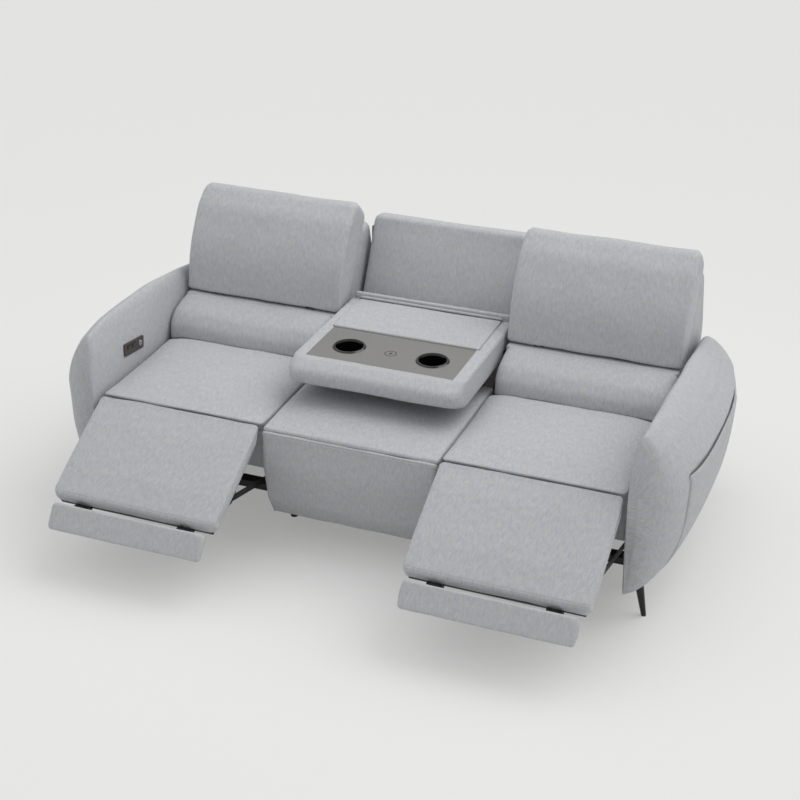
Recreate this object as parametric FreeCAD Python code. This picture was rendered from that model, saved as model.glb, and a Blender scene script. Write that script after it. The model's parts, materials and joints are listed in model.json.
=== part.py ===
import FreeCAD, Part
import math
import os

V = FreeCAD.Vector

# Soft forms: how far their ends are drawn in, over what depth, and where the crown flattens
END_DRAWN = 9.0
END_DEPTH = 14.0
CROWN_SHARE = 0.45

# Seating: a fixed middle seat between two reclining seats
MIDDLE_HALF = 284.0
SEAT_WIDTH = 555.0
SEAT_GAP = 9.0
ARM_GAP = 14.0
SEAT_INNER_X = MIDDLE_HALF + SEAT_GAP
SEAT_OUTER_X = SEAT_INNER_X + SEAT_WIDTH
SEAT_MIDDLE_X = SEAT_INNER_X + SEAT_WIDTH / 2
ARM_INNER_X = SEAT_OUTER_X + ARM_GAP
SEAT_FRONT_Z = 429.0
SEAT_THICKNESS = 43.0
SEAT_BOTTOM_Z = SEAT_FRONT_Z - SEAT_THICKNESS
SEAT_REAR_Y = -112.0
SEAT_CROWN = 12.0
SEAM_Y = -560.0
SEAM_DEPTH = 3.0
SEAM_RADIUS = 2.0
MITRE_OFFSET = 1.7

# Footrest, drawn part way out, and the flap at its end
FOOT_SLOPE = 29.3
PAD_LENGTH = 375.6
PAD_WIDTH = SEAT_WIDTH - 3.0
PAD_THICKNESS = 39.0
PAD_CROWN = 6.0
BOARD_THICKNESS = 12.0
FLAP_LENGTH = 82.7
FLAP_WIDTH = PAD_WIDTH - 37.0
FLAP_THICKNESS = 22.0
FLAP_TURN = 26.0
FLAP_REACH = 29.1
FLAP_RISE = 5.0
FLAP_HINGE_BEYOND = 8.4
FLAP_HINGE_DROP = 33.4
FLAP_BRACKET_SPREAD = 175.0

# Footrest linkage: two parallel cranks and couplers on each seat
LINK_PLATE = 4.0
LINK_GAP = 1.0
LINK_WIDTH = 18.0
PAD_PIVOT_ALONG = 230.0
PAD_PIVOT_BELOW = 62.0
CRANK_Y = -278.0
CRANK_Z = SEAT_BOTTOM_Z - 26.0
CRANK_PIN_R = 6.0
LINK_PIN_R = 5.0
RUNNING_GAP = 0.05
OPEN_GAP = 0.3
TORQUE_TUBE_R = 9.0

# Reclining back and tilting headrest
RECLINE_Y = 60.0
RECLINE_Z = SEAT_BOTTOM_Z - 6.0
RECLINE_PIN_R = 6.0
BACK_INNER_X = SEAT_INNER_X + 4.0
BACK_OUTER_X = ARM_INNER_X - 4.0
SHELL_FRONT_Y = 25.0
SHELL_BOTTOM_Z = 415.0
SHELL_LEDGE_Z = 541.0
SHELL_LEDGE_DEPTH = 125.0
SHELL_TOP_Z = 778.0
REAR_Y = 408.0
BACK_BOTTOM_Z = 304.0
LUMBAR_FRONT_Y = -113.0
LUMBAR_BOTTOM_Z = 362.0
HEAD_BOTTOM_Y = 40.0
HEAD_BOTTOM_Z = SHELL_LEDGE_Z + 4.0
HEAD_EDGE_R = 8.0
# Belly, brow, crest, rear and heel of the headrest, back and up from its lower front edge
HEAD_BELLY = (32.0, 147.0)
HEAD_BROW = (110.0, 275.0)
HEAD_CREST = (185.0, 330.0)
HEAD_REAR = (247.0, 273.0)
HEAD_HEEL = (101.5, 11.0)
HEAD_PIN_R = 3.0
HEAD_LUG_R = 7.0

# Drop-down console
CONSOLE_HALF = MIDDLE_HALF + 1.0
CONSOLE_FRONT_Y = -400.0
CONSOLE_REAR_Y = 150.0
CONSOLE_TOP_Z = 571.0
CONSOLE_BOTTOM_Z = 478.0
CONSOLE_AXIS_Y = 82.0
CONSOLE_AXIS_Z = 489.0
CONSOLE_PIN_R = 8.0
CONSOLE_NECK_HALF = CONSOLE_HALF - 17.0
PLATE_HALF = CONSOLE_HALF - 42.0
PLATE_FRONT_Y = -328.0
PLATE_REAR_Y = -103.0
PLATE_THICKNESS = 3.0
CUP_X = PLATE_HALF - 103.0
CUP_Y = -223.0
CUP_INNER_R = 42.5
CUP_WALL = 3.0
CUP_RIM_R = 53.5
CUP_RIM_RISE = 4.0
CUP_DEPTH = 62.0
LID_HALF = CONSOLE_HALF - 36.0
LID_THICKNESS = 14.0
LID_REAR_Y = 126.5
BIN_HALF = LID_HALF - 19.0
BIN_WALL = 2.5
BIN_FLOOR_Z = 492.0

# Arms, swelling outward to a rounded nose
ARM_THICKNESS = 177.0
ARM_FRONT_Y = -592.0
ARM_REAR_Y = 343.0
ARM_BOTTOM_Z = 115.0
ARM_WIDEST_Z = 443.5
ARM_TOP_FRONT_Z = 628.0
ARM_TOP_MIDDLE_Z = 614.0
ARM_TOP_REAR_Z = 548.0
ARM_CREST_SHARE = 0.23
ARM_REAR_SHARE = 0.65
UPPER_POWER = 1.43
LOWER_POWER = 2.15
POCKET_TOP_Z = 475.0
POCKET_FRONT_Y = -455.0
POCKET_REAR_Y = 140.0
POCKET_SKIN = 6.0
POCKET_SLIT = 7.0

# Switch panel on each arm
PANEL_LENGTH = 121.0
PANEL_HEIGHT = 42.0
PANEL_Y = -330.0
PANEL_Z = 492.0
PANEL_SLOPE = 6.8
PANEL_PROUD = 3.0
PANEL_SINK = 4.0
PANEL_DEPTH = 16.0
BUTTON_TRAVEL = 1.5
BUTTON_GAP = 0.3

# Frame, feet and legs
RAIL_BOTTOM_Z = 84.0
RAIL_HEIGHT = 24.0
RAIL_INNER_X = MIDDLE_HALF - 20.0
MECH_INNER_X = SEAT_INNER_X + 3.0
MECH_OUTER_X = SEAT_OUTER_X - 7.0
FRONT_RAIL_Y = -390.0
REAR_RAIL_Y = 352.0
RAIL_DEPTH = 40.0
UPRIGHT = 16.0
LEG_TOP_R = 13.5
LEG_FOOT_R = 7.5
LEG_INSET = 37.0
LEG_SPLAY = 18.0
LEGS_Y = ((-516.0, 13.0), (262.0, 8.0))
FOOT_R = 12.0
FRAME_TIMBER = 40.0
PANEL_BOARD = 12.0
SIDE_TIMBER = 18.0
MIDDLE_BACK_Z = 256.0
MIDDLE_FRONT_Y = -574.0
MIDDLE_FRONT_Z = 98.0

SEAM_Z = SEAT_FRONT_Z - SEAM_DEPTH
RAIL_TOP_Z = RAIL_BOTTOM_Z + RAIL_HEIGHT
BOARD_BOTTOM = -(PAD_THICKNESS - SEAM_DEPTH) - BOARD_THICKNESS

parts = {}


def corner(before, here, after, radius):
    """Start, middle and end of the arc that rounds one corner of an outline."""
    a = FreeCAD.Vector(before[0] - here[0], before[1] - here[1], 0).normalize()
    b = FreeCAD.Vector(after[0] - here[0], after[1] - here[1], 0).normalize()
    half = a.getAngle(b) / 2
    setback = radius / math.tan(half)
    p = V(here[0], here[1], 0)
    centre = p + (a + b).normalize() * (radius / math.sin(half))
    middle = centre + (p - centre).normalize() * radius
    return p + a * setback, middle, p + b * setback


def outline(points, place):
    """Closed wire of straight runs joined by tangent arcs, from (a, b, radius) corners."""
    corners = []
    count = len(points)
    for i, point in enumerate(points):
        before = points[i - 1]
        after = points[(i + 1) % count]
        if point[2] > 0:
            corners.append(corner(before, point, after, point[2]))
        else:
            corners.append((V(point[0], point[1], 0),))
    edges = []
    for i, bend in enumerate(corners):
        start = corners[i - 1][-1]
        edges.append(Part.LineSegment(place(start), place(bend[0])).toShape())
        if len(bend) == 3:
            edges.append(Part.Arc(place(bend[0]), place(bend[1]), place(bend[2])).toShape())
    return Part.Wire(edges)


def at_x(x):
    """Place for an outline drawn in depth and height, at one x."""
    return lambda p: V(x, p.x, p.y)


def at_z(z):
    """Place for an outline drawn in plan, at one height."""
    return lambda p: V(p.x, p.y, z)


def plate_x(points, x0, x1):
    """Flat plate with a side-view outline, between two values of x."""
    face = Part.Face(outline(points, at_x(x0)))
    return face.extrude(V(x1 - x0, 0, 0))


def plate_z(points, z0, z1):
    """Flat plate with a plan outline, between two heights."""
    face = Part.Face(outline(points, at_z(z0)))
    return face.extrude(V(0, 0, z1 - z0))


def block(x0, x1, y0, y1, z0, z1):
    """Square-cornered block between two opposite corners."""
    return Part.makeBox(x1 - x0, y1 - y0, z1 - z0, V(x0, y0, z0))


def rod_x(radius, x0, x1, y, z):
    """Round bar along x."""
    return Part.makeCylinder(radius, x1 - x0, V(x0, y, z), V(1, 0, 0))


def taper(low_radius, low, high_radius, high):
    """Round leg whose ends are level circles about two points."""
    rings = [Part.Wire(Part.makeCircle(low_radius, low)), Part.Wire(Part.makeCircle(high_radius, high))]
    return Part.makeLoft(rings, True, True)


def rectangle(a0, a1, b0, b1, radius):
    """Corners of a rounded rectangle."""
    return [(a0, b0, radius), (a1, b0, radius), (a1, b1, radius), (a0, b1, radius)]


def capsule(ends, width):
    """Corners of a link's outline: two pivots and a width."""
    (y0, z0), (y1, z1) = ends
    length = math.hypot(y1 - y0, z1 - z0)
    a = ((y1 - y0) / length, (z1 - z0) / length)
    b = (-a[1], a[0])
    h = width / 2
    result = []
    for (y, z), sign in (((y0, z0), -1), ((y1, z1), 1)):
        for side in (sign, -sign):
            result.append((y + h * (sign * a[0] - side * b[0]),
                           z + h * (sign * a[1] - side * b[1]), h * 0.98))
    return result


def cushion(x0, x1, profile):
    """Soft form: its side-view profile is drawn in at both ends and crowned in the middle."""
    half = (x1 - x0) / 2
    middle = (x0 + x1) / 2
    right_end = [(half * CROWN_SHARE, 0.0), (half - END_DEPTH, 0.0), (half, END_DRAWN)]
    left_end = [(-reach, drawn) for reach, drawn in reversed(right_end)]
    wires = []
    for reach, drawn in left_end + right_end:
        crown = 1 - (reach / half) ** 2
        wires.append(outline(profile(drawn, crown), at_x(middle + reach)))
    return Part.makeLoft(wires, True, True)


def mirrored(shape):
    """The same piece on the other side of the sofa."""
    return shape.mirror(V(0, 0, 0), V(1, 0, 0))


def both(name, shape):
    """A piece that the two reclining seats have alike."""
    parts["right_" + name] = shape
    parts["left_" + name] = mirrored(shape)


def pair(shape):
    """A piece and its mirror image, kept as one node."""
    return Part.Compound(shape.Solids + mirrored(shape).Solids)


def foot(along, above):
    """Point of the drawn-out footrest from its distance along and above its seam line."""
    slope = math.radians(FOOT_SLOPE)
    y = SEAM_Y - along * math.cos(slope) - above * math.sin(slope)
    z = SEAM_Z - along * math.sin(slope) + above * math.cos(slope)
    return y, z


def foot_corners(points):
    """Side-view corners from footrest corners."""
    return [foot(a, b) + (r,) for a, b, r in points]


def flap(along, above):
    """Footrest coordinates of a point of the flap, from its near top edge."""
    turn = math.radians(FLAP_TURN)
    a = PAD_LENGTH + FLAP_REACH + along * math.cos(turn) + above * math.sin(turn)
    b = SEAM_DEPTH + FLAP_RISE - along * math.sin(turn) + above * math.cos(turn)
    return a, b


FLAP_HINGE = (PAD_LENGTH + FLAP_HINGE_BEYOND, SEAM_DEPTH - FLAP_HINGE_DROP)
PAD_PIVOT = foot(PAD_PIVOT_ALONG, -PAD_PIVOT_BELOW)
CRANK_END = (CRANK_Y + PAD_PIVOT[0] - SEAM_Y, CRANK_Z + PAD_PIVOT[1] - SEAM_Z)


def seat_profile(drawn, crown):
    top = SEAT_FRONT_Z - drawn
    tip = SEAM_Y + MITRE_OFFSET - (top - SEAM_Z)
    heel = SEAM_Y + MITRE_OFFSET + SEAM_Z - SEAT_BOTTOM_Z
    rise = SEAT_CROWN * crown
    return [(tip, top, SEAM_RADIUS), (SEAM_Y + 105, top + 6 + rise * 0.7, 160),
            (SEAT_REAR_Y - 138, top + 12 + rise, 160),
            (SEAT_REAR_Y - drawn / 2, top + 10 + rise * 0.3, 16), (SEAT_REAR_Y - drawn / 2, SEAT_BOTTOM_Z, 5),
            (heel, SEAT_BOTTOM_Z, 4)]


def pad_profile(drawn, crown):
    top = SEAM_DEPTH - drawn
    bottom = SEAM_DEPTH - PAD_THICKNESS
    end = PAD_LENGTH - drawn / 2
    rise = PAD_CROWN * crown
    return foot_corners([(MITRE_OFFSET - top, top, SEAM_RADIUS), (105, top + 3 + rise, 140),
                         (275, top + 3 + rise, 140), (end, top, 13), (end, bottom, 8),
                         (MITRE_OFFSET - bottom, bottom, 4)])


def flap_profile(drawn, crown):
    top = 2 * crown - drawn / 2
    near = drawn / 3
    far = FLAP_LENGTH - drawn / 3
    corners = [(near, top, 6), (far, top, 6), (far, -FLAP_THICKNESS, 7), (near, -FLAP_THICKNESS, 5)]
    return foot_corners([flap(a, b) + (r,) for a, b, r in corners])


def lumbar_profile(drawn, crown):
    front = LUMBAR_FRONT_Y + drawn * 1.4 - 4 * crown
    top = SHELL_LEDGE_Z - drawn / 2
    step = SEAT_REAR_Y + 18
    over_seat = SEAT_FRONT_Z + 17
    return [(SHELL_FRONT_Y, LUMBAR_BOTTOM_Z, 8), (step, LUMBAR_BOTTOM_Z, 14), (step, over_seat - 16, 6),
            (front, over_seat, 10), (front + 3, SHELL_LEDGE_Z - 41, 36), (front + 66, top, 40),
            (SHELL_FRONT_Y, top, 6)]


def head_point(place, back=0.0, up=0.0):
    """Side-view point of the headrest, moved back and up."""
    return HEAD_BOTTOM_Y + place[0] + back, HEAD_BOTTOM_Z + place[1] + up


def head_profile(drawn, crown):
    front = drawn - 3 * crown
    return [head_point((0, 0), drawn / 3, drawn / 2) + (HEAD_EDGE_R,), head_point(HEAD_BELLY, front) + (380,),
            head_point(HEAD_BROW, front) + (120,), head_point(HEAD_CREST, 0, -1.4 * drawn) + (40,),
            head_point(HEAD_REAR, -drawn / 3, -drawn) + (20,), head_point(HEAD_HEEL) + (20,)]


def head_axis():
    """Centre of the rounding of the headrest's lower front edge, about which it tilts."""
    heel = math.atan2(HEAD_HEEL[1], HEAD_HEEL[0])
    face = math.atan2(HEAD_BELLY[1], HEAD_BELLY[0])
    reach = HEAD_EDGE_R / math.sin((face - heel) / 2)
    middle = (face + heel) / 2
    return HEAD_BOTTOM_Y + reach * math.cos(middle), HEAD_BOTTOM_Z + reach * math.sin(middle)


def console_profile(drawn, crown):
    top = CONSOLE_TOP_Z - drawn / 2
    front = CONSOLE_FRONT_Y + drawn
    return [(front + 48, top, 30), (front, CONSOLE_TOP_Z - 23, 26), (front + 6, CONSOLE_BOTTOM_Z + 27, 28),
            (front + 62, CONSOLE_BOTTOM_Z, 30),
            (CONSOLE_REAR_Y, CONSOLE_BOTTOM_Z, 12), (CONSOLE_REAR_Y, top, 6)]


def arm_height(y):
    """Height of an arm's crest along its length, through three heights."""
    front, rear = -400.0, 380.0
    a = (ARM_TOP_FRONT_Z - ARM_TOP_MIDDLE_Z) / front
    b = (ARM_TOP_REAR_Z - ARM_TOP_MIDDLE_Z) / rear
    curve = (a - b) / (front - rear)
    return ARM_TOP_MIDDLE_Z + (a - curve * front) * y + curve * y * y


def rounding(y, start, power):
    """Share of full size left towards the arm's nose."""
    reach = min(max((start - y) / (start - ARM_FRONT_Y), 0.0), 1.0)
    return (1 - reach ** power) ** (1 / power)


def arm_swell(y):
    """Thickness of an arm at a point of its length."""
    widest = -43.5
    if y <= widest:
        return ARM_THICKNESS * rounding(y, widest, 3.18)
    reach = (y - widest) / (ARM_REAR_Y - widest)
    return ARM_THICKNESS * (1 - (1 - ARM_REAR_SHARE) * reach ** 1.86)


def inner_rounding(across, up):
    """Middle points and joint of the two tangent arcs from an arm's upright inner wall to its crest."""
    small = across * 0.75
    large = (across ** 2 + (up - small) ** 2 - small ** 2) / (2 * (across - small))
    lean = math.atan2(up - small, large - across)

    def on_large(angle):
        return large * (1 - math.cos(angle)), large * math.sin(angle)

    turn = (lean + math.pi / 2) / 2
    bend = (across - small * math.cos(turn), up - small + small * math.sin(turn))
    return on_large(lean / 2), bend, on_large(lean)


def arm_section(y, inset):
    """Cross-section of an arm: flat inside, a soft crest and a swelling outer side."""
    swell = arm_swell(y) - inset
    up = (arm_height(y) - ARM_WIDEST_Z) * rounding(y, -549.6, 1.53) - inset
    down = ARM_WIDEST_Z - ARM_BOTTOM_Z - inset
    crest = ARM_INNER_X + inset * 0.5 + swell * ARM_CREST_SHARE
    reach = ARM_INNER_X + swell - crest

    def outer(angle, power, height):
        a = math.radians(angle)
        return V(crest + reach * abs(math.cos(a)) ** (2 / power), y,
                 ARM_WIDEST_Z + height * abs(math.sin(a)) ** (2 / power))

    inner_x = ARM_INNER_X + inset * 0.5
    wall, bend, shoulder = inner_rounding(crest - inner_x, up)
    start = V(inner_x, y, ARM_WIDEST_Z)
    across = V(1, 0, 0)
    above = V(0, 0, 1)
    join = start + across * shoulder[0] + above * shoulder[1]
    top = V(crest, y, ARM_WIDEST_Z + up)
    widest = V(crest + reach, y, ARM_WIDEST_Z)
    low = V(crest, y, ARM_WIDEST_Z - down)
    heel = V(inner_x, y, ARM_WIDEST_Z - down)
    waist = outer(40, UPPER_POWER, up)
    skirt = outer(50, LOWER_POWER, -down)
    edges = [Part.LineSegment(heel, start).toShape(),
             Part.Arc(start, start + across * wall[0] + above * wall[1], join).toShape(),
             Part.Arc(join, start + across * bend[0] + above * bend[1], top).toShape(),
             Part.Arc(top, outer(66, UPPER_POWER, up), waist).toShape(),
             Part.Arc(waist, outer(18, UPPER_POWER, up), widest).toShape(),
             Part.Arc(widest, outer(24, LOWER_POWER, -down), skirt).toShape(),
             Part.Arc(skirt, outer(72, LOWER_POWER, -down), low).toShape(),
             Part.LineSegment(low, heel).toShape()]
    return Part.Wire(edges)


def arm_body(inset):
    """Whole arm, or the same form drawn in by a skin's thickness."""
    stations = [-589, -578, -552, -480, -330, -110, 130, ARM_REAR_Y]
    return Part.makeLoft([arm_section(y, inset) for y in stations], True, True)


def panel_place(shape):
    """Tilt a switch-panel piece to the slope of the arm and put it on the arm."""
    shape.rotate(V(0, 0, 0), V(1, 0, 0), -PANEL_SLOPE)
    shape.translate(V(ARM_INNER_X, PANEL_Y, PANEL_Z))
    return shape


def panel_outline(margin, radius):
    half = PANEL_LENGTH / 2 - margin
    tall = PANEL_HEIGHT / 2 - margin
    return rectangle(-half, half, -tall, tall, radius)


def make_arms():
    arm = arm_body(0)
    window = plate_x(rectangle(POCKET_FRONT_Y, POCKET_REAR_Y, ARM_BOTTOM_Z + 12, POCKET_TOP_Z, 18),
                     ARM_INNER_X + 30, ARM_INNER_X + ARM_THICKNESS + 20)
    cloth = plate_x(rectangle(POCKET_FRONT_Y, POCKET_REAR_Y, ARM_BOTTOM_Z + 12,
                              POCKET_TOP_Z - POCKET_SLIT, 18),
                    ARM_INNER_X + 30, ARM_INNER_X + ARM_THICKNESS + 20)
    core = arm_body(POCKET_SKIN)
    skin = arm.common(window).cut(core)
    pocket = arm.common(cloth).cut(core)
    recess = plate_x(panel_outline(5, 4), -1, PANEL_DEPTH)
    bed = plate_x(panel_outline(-0.4, 7.4), -1, PANEL_SINK)
    both("arm", arm.cut(skin).cut(panel_place(recess.fuse(bed))))
    parts["arm_pockets"] = pair(pocket)


def make_switches():
    face = plate_x(panel_outline(0, 7), -PANEL_PROUD, PANEL_SINK)
    housing = plate_x(panel_outline(5.5, 4), PANEL_SINK, PANEL_DEPTH - 0.5)
    panel = face.fuse(housing)
    depth = PANEL_DEPTH - 2.5
    keys = [("recline_button", -30.0, 5.5, 26.0, 15.0), ("raise_button", 0.0, 5.5, 26.0, 15.0)]
    for name, y, z, long, tall in keys:
        hole = rectangle(y - long / 2 - BUTTON_GAP, y + long / 2 + BUTTON_GAP,
                         z - tall / 2 - BUTTON_GAP, z + tall / 2 + BUTTON_GAP, 2.3)
        panel = panel.cut(plate_x(hole, -PANEL_PROUD - 1, depth))
        key = plate_x(rectangle(y - long / 2, y + long / 2, z - tall / 2, z + tall / 2, 2),
                      -PANEL_PROUD - 2, depth - BUTTON_TRAVEL - 1)
        both(name, panel_place(key))
    home_r, home_y = 10.5, 39.0
    panel = panel.cut(rod_x(home_r + BUTTON_GAP, -PANEL_PROUD - 1, depth, home_y, 0))
    home = rod_x(home_r, -PANEL_PROUD - 2, depth - BUTTON_TRAVEL - 1, home_y, 0)
    home = home.makeChamfer(1.0, [home.Edges[i] for i in range(3) if home.Edges[i].BoundBox.XLength < 0.01
                                  and home.Edges[i].CenterOfMass.x < 0])
    both("home_button", panel_place(home))
    parts["switch_panels"] = pair(panel_place(panel))


def make_legs():
    top_x = ARM_INNER_X + LEG_INSET
    legs = [taper(LEG_FOOT_R, V(top_x + LEG_SPLAY, y + drift, 0), LEG_TOP_R, V(top_x, y, ARM_BOTTOM_Z))
            for y, drift in LEGS_Y]
    parts["legs"] = pair(Part.Compound(legs))
    feet = []
    for x in (RAIL_INNER_X + 16, ARM_INNER_X - 16):
        for y in (FRONT_RAIL_Y + 20, REAR_RAIL_Y + 20):
            feet.append(Part.makeCylinder(FOOT_R, RAIL_BOTTOM_Z, V(x, y, 0)))
    parts["frame_feet"] = pair(Part.Compound(feet))


def make_base():
    end = ARM_INNER_X
    solids = [block(-end, end, FRONT_RAIL_Y, FRONT_RAIL_Y + RAIL_DEPTH, RAIL_BOTTOM_Z, RAIL_TOP_Z),
              block(-end, end, REAR_RAIL_Y, REAR_RAIL_Y + RAIL_DEPTH, RAIL_BOTTOM_Z, RAIL_TOP_Z)]
    front = FRONT_RAIL_Y + RAIL_DEPTH
    runs = [(RAIL_INNER_X, MECH_INNER_X), (MECH_OUTER_X + LINK_PLATE, end)]
    for x0, x1 in runs:
        rail = block(x0, x1, front, REAR_RAIL_Y, RAIL_BOTTOM_Z, RAIL_TOP_Z)
        solids += [rail, mirrored(rail)]
    post = block(MIDDLE_HALF - 104, MIDDLE_HALF - 64, REAR_RAIL_Y, REAR_RAIL_Y + 36, RAIL_TOP_Z,
                 MIDDLE_BACK_Z)
    uprights = [block(end - UPRIGHT, end, y, y + RAIL_DEPTH, RAIL_TOP_Z, RAIL_TOP_Z + 60)
                for y in (FRONT_RAIL_Y, ARM_REAR_Y - RAIL_DEPTH - 13)]
    for piece in [post] + uprights:
        solids += [piece, mirrored(piece)]
    parts["base_frame"] = Part.Compound(solids)
    rear = REAR_RAIL_Y + RAIL_DEPTH
    panel = block(-end + 4, end - 4, rear, rear + PANEL_BOARD, RAIL_BOTTOM_Z + 5, BACK_BOTTOM_Z - 6)
    parts["lower_back_panel"] = panel
    parts["power_supply"] = plate_z(rectangle(-70, 70, FRONT_RAIL_Y - 10, front - 2, 6),
                                    RAIL_TOP_Z, RAIL_TOP_Z + 36)


def mech_plate(x):
    """Side plate of a seat's mechanism, with its crank and recline pins."""
    low = RAIL_BOTTOM_Z + 5
    rail = FRONT_RAIL_Y + RAIL_DEPTH + 5
    bridge = CRANK_Z - 15
    points = [(FRONT_RAIL_Y - 5, RAIL_TOP_Z + 3, 0), (rail, RAIL_TOP_Z + 3, 0), (rail, low, 0),
              (RECLINE_Y + 30, low, 0), (RECLINE_Y + 30, RECLINE_Z - 30, 0),
              (RECLINE_Y + 19, RECLINE_Z + 16, 12), (RECLINE_Y - 17, RECLINE_Z + 16, 12),
              (RECLINE_Y - 30, bridge, 0), (CRANK_Y + 50, bridge, 0), (CRANK_Y + 22, CRANK_Z + 15, 10),
              (CRANK_Y - 22, CRANK_Z + 15, 10), (CRANK_Y - 42, bridge - 7, 0),
              (FRONT_RAIL_Y - 55, bridge - 11, 0), (FRONT_RAIL_Y - 55, bridge - 37, 8),
              (FRONT_RAIL_Y - 12, bridge - 135, 20)]
    plate = plate_x(points, x, x + LINK_PLATE)
    for y0, y1, z0, z1 in ((-200, -60, 175, 215), (RECLINE_Y - 90, RECLINE_Y, RECLINE_Z - 105, RECLINE_Z - 62)):
        plate = plate.cut(plate_x(rectangle(y0, y1, z0, z1, 18), x - 1, x + LINK_PLATE + 1))
    return plate


def layer(index, inner):
    """Left and right x of a link layer, counted from a mechanism plate inward to its seat."""
    step = LINK_PLATE + LINK_GAP
    if inner:
        x0 = MECH_INNER_X + index * step
        return x0, x0 + LINK_PLATE
    x1 = MECH_OUTER_X + LINK_PLATE - index * step
    return x1 - LINK_PLATE, x1


def make_mechanism():
    solid = mech_plate(MECH_INNER_X).fuse(mech_plate(MECH_OUTER_X))
    for y in (-130.0, 30.0):
        solid = solid.fuse(rod_x(12, MECH_INNER_X + 1, MECH_OUTER_X + 3, y, 240))
    tab = FRAME_TIMBER + 4
    for y in (-440.0, -165.0):
        solid = solid.fuse(block(MECH_INNER_X, MECH_INNER_X + tab, y, y + 30, 326, 330))
        solid = solid.fuse(block(MECH_OUTER_X + LINK_PLATE - tab, MECH_OUTER_X + LINK_PLATE,
                                 y, y + 30, 326, 330))
    for inner in (True, False):
        crank = layer(1, inner)
        solid = solid.fuse(rod_x(CRANK_PIN_R, crank[0] - 2, crank[1] + 2, CRANK_Y, CRANK_Z))
        iron = (layer(1, inner)[0] - 2, layer(1, inner)[1] + 6)
        if not inner:
            iron = (layer(1, inner)[0] - 6, layer(1, inner)[1] + 2)
        solid = solid.fuse(rod_x(RECLINE_PIN_R, iron[0], iron[1], RECLINE_Y, RECLINE_Z))
    both("mechanism_frame", solid)
    actuators = []
    for x in (SEAT_MIDDLE_X - 60, SEAT_MIDDLE_X + 60):
        body = block(x - 18, x + 18, -150, 50, 252, 276)
        gearbox = plate_z(rectangle(x - 30, x + 30, -20, 46, 8), 276, 318)
        motor = Part.makeCylinder(19, 96, V(x, -20, 296), V(0, -1, 0))
        actuators.append(body.fuse(gearbox).fuse(motor))
    parts["actuators"] = pair(Part.Compound(actuators))


def make_links():
    cranks = []
    couplers = []
    for inner in (True, False):
        x0, x1 = layer(1, inner)
        crank = plate_x(capsule([(CRANK_Y, CRANK_Z), CRANK_END], LINK_WIDTH + 4), x0, x1)
        crank = crank.cut(rod_x(CRANK_PIN_R + RUNNING_GAP, x0 - 1, x1 + 1, CRANK_Y, CRANK_Z))
        pin = (x1 - 1, x1 + 7) if inner else (x0 - 7, x0 + 1)
        cranks.append(crank.fuse(rod_x(LINK_PIN_R, pin[0], pin[1], *CRANK_END)))
        x0, x1 = layer(2, inner)
        bar = plate_x(capsule([CRANK_END, PAD_PIVOT], LINK_WIDTH), x0, x1)
        bar = bar.cut(rod_x(LINK_PIN_R + RUNNING_GAP, x0 - 1, x1 + 1, *CRANK_END))
        couplers.append(bar.cut(rod_x(LINK_PIN_R + OPEN_GAP, x0 - 1, x1 + 1, *PAD_PIVOT)))
    share = 0.5
    tube = rod_x(TORQUE_TUBE_R, layer(1, True)[0] + 1, layer(1, False)[1] - 1,
                 CRANK_Y + share * (CRANK_END[0] - CRANK_Y), CRANK_Z + share * (CRANK_END[1] - CRANK_Z))
    both("footrest_cranks", cranks[0].fuse(cranks[1]).fuse(tube))
    both("footrest_couplers", Part.Compound(couplers))


def flap_bracket_xs():
    return (SEAT_MIDDLE_X - FLAP_BRACKET_SPREAD, SEAT_MIDDLE_X + FLAP_BRACKET_SPREAD)


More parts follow.
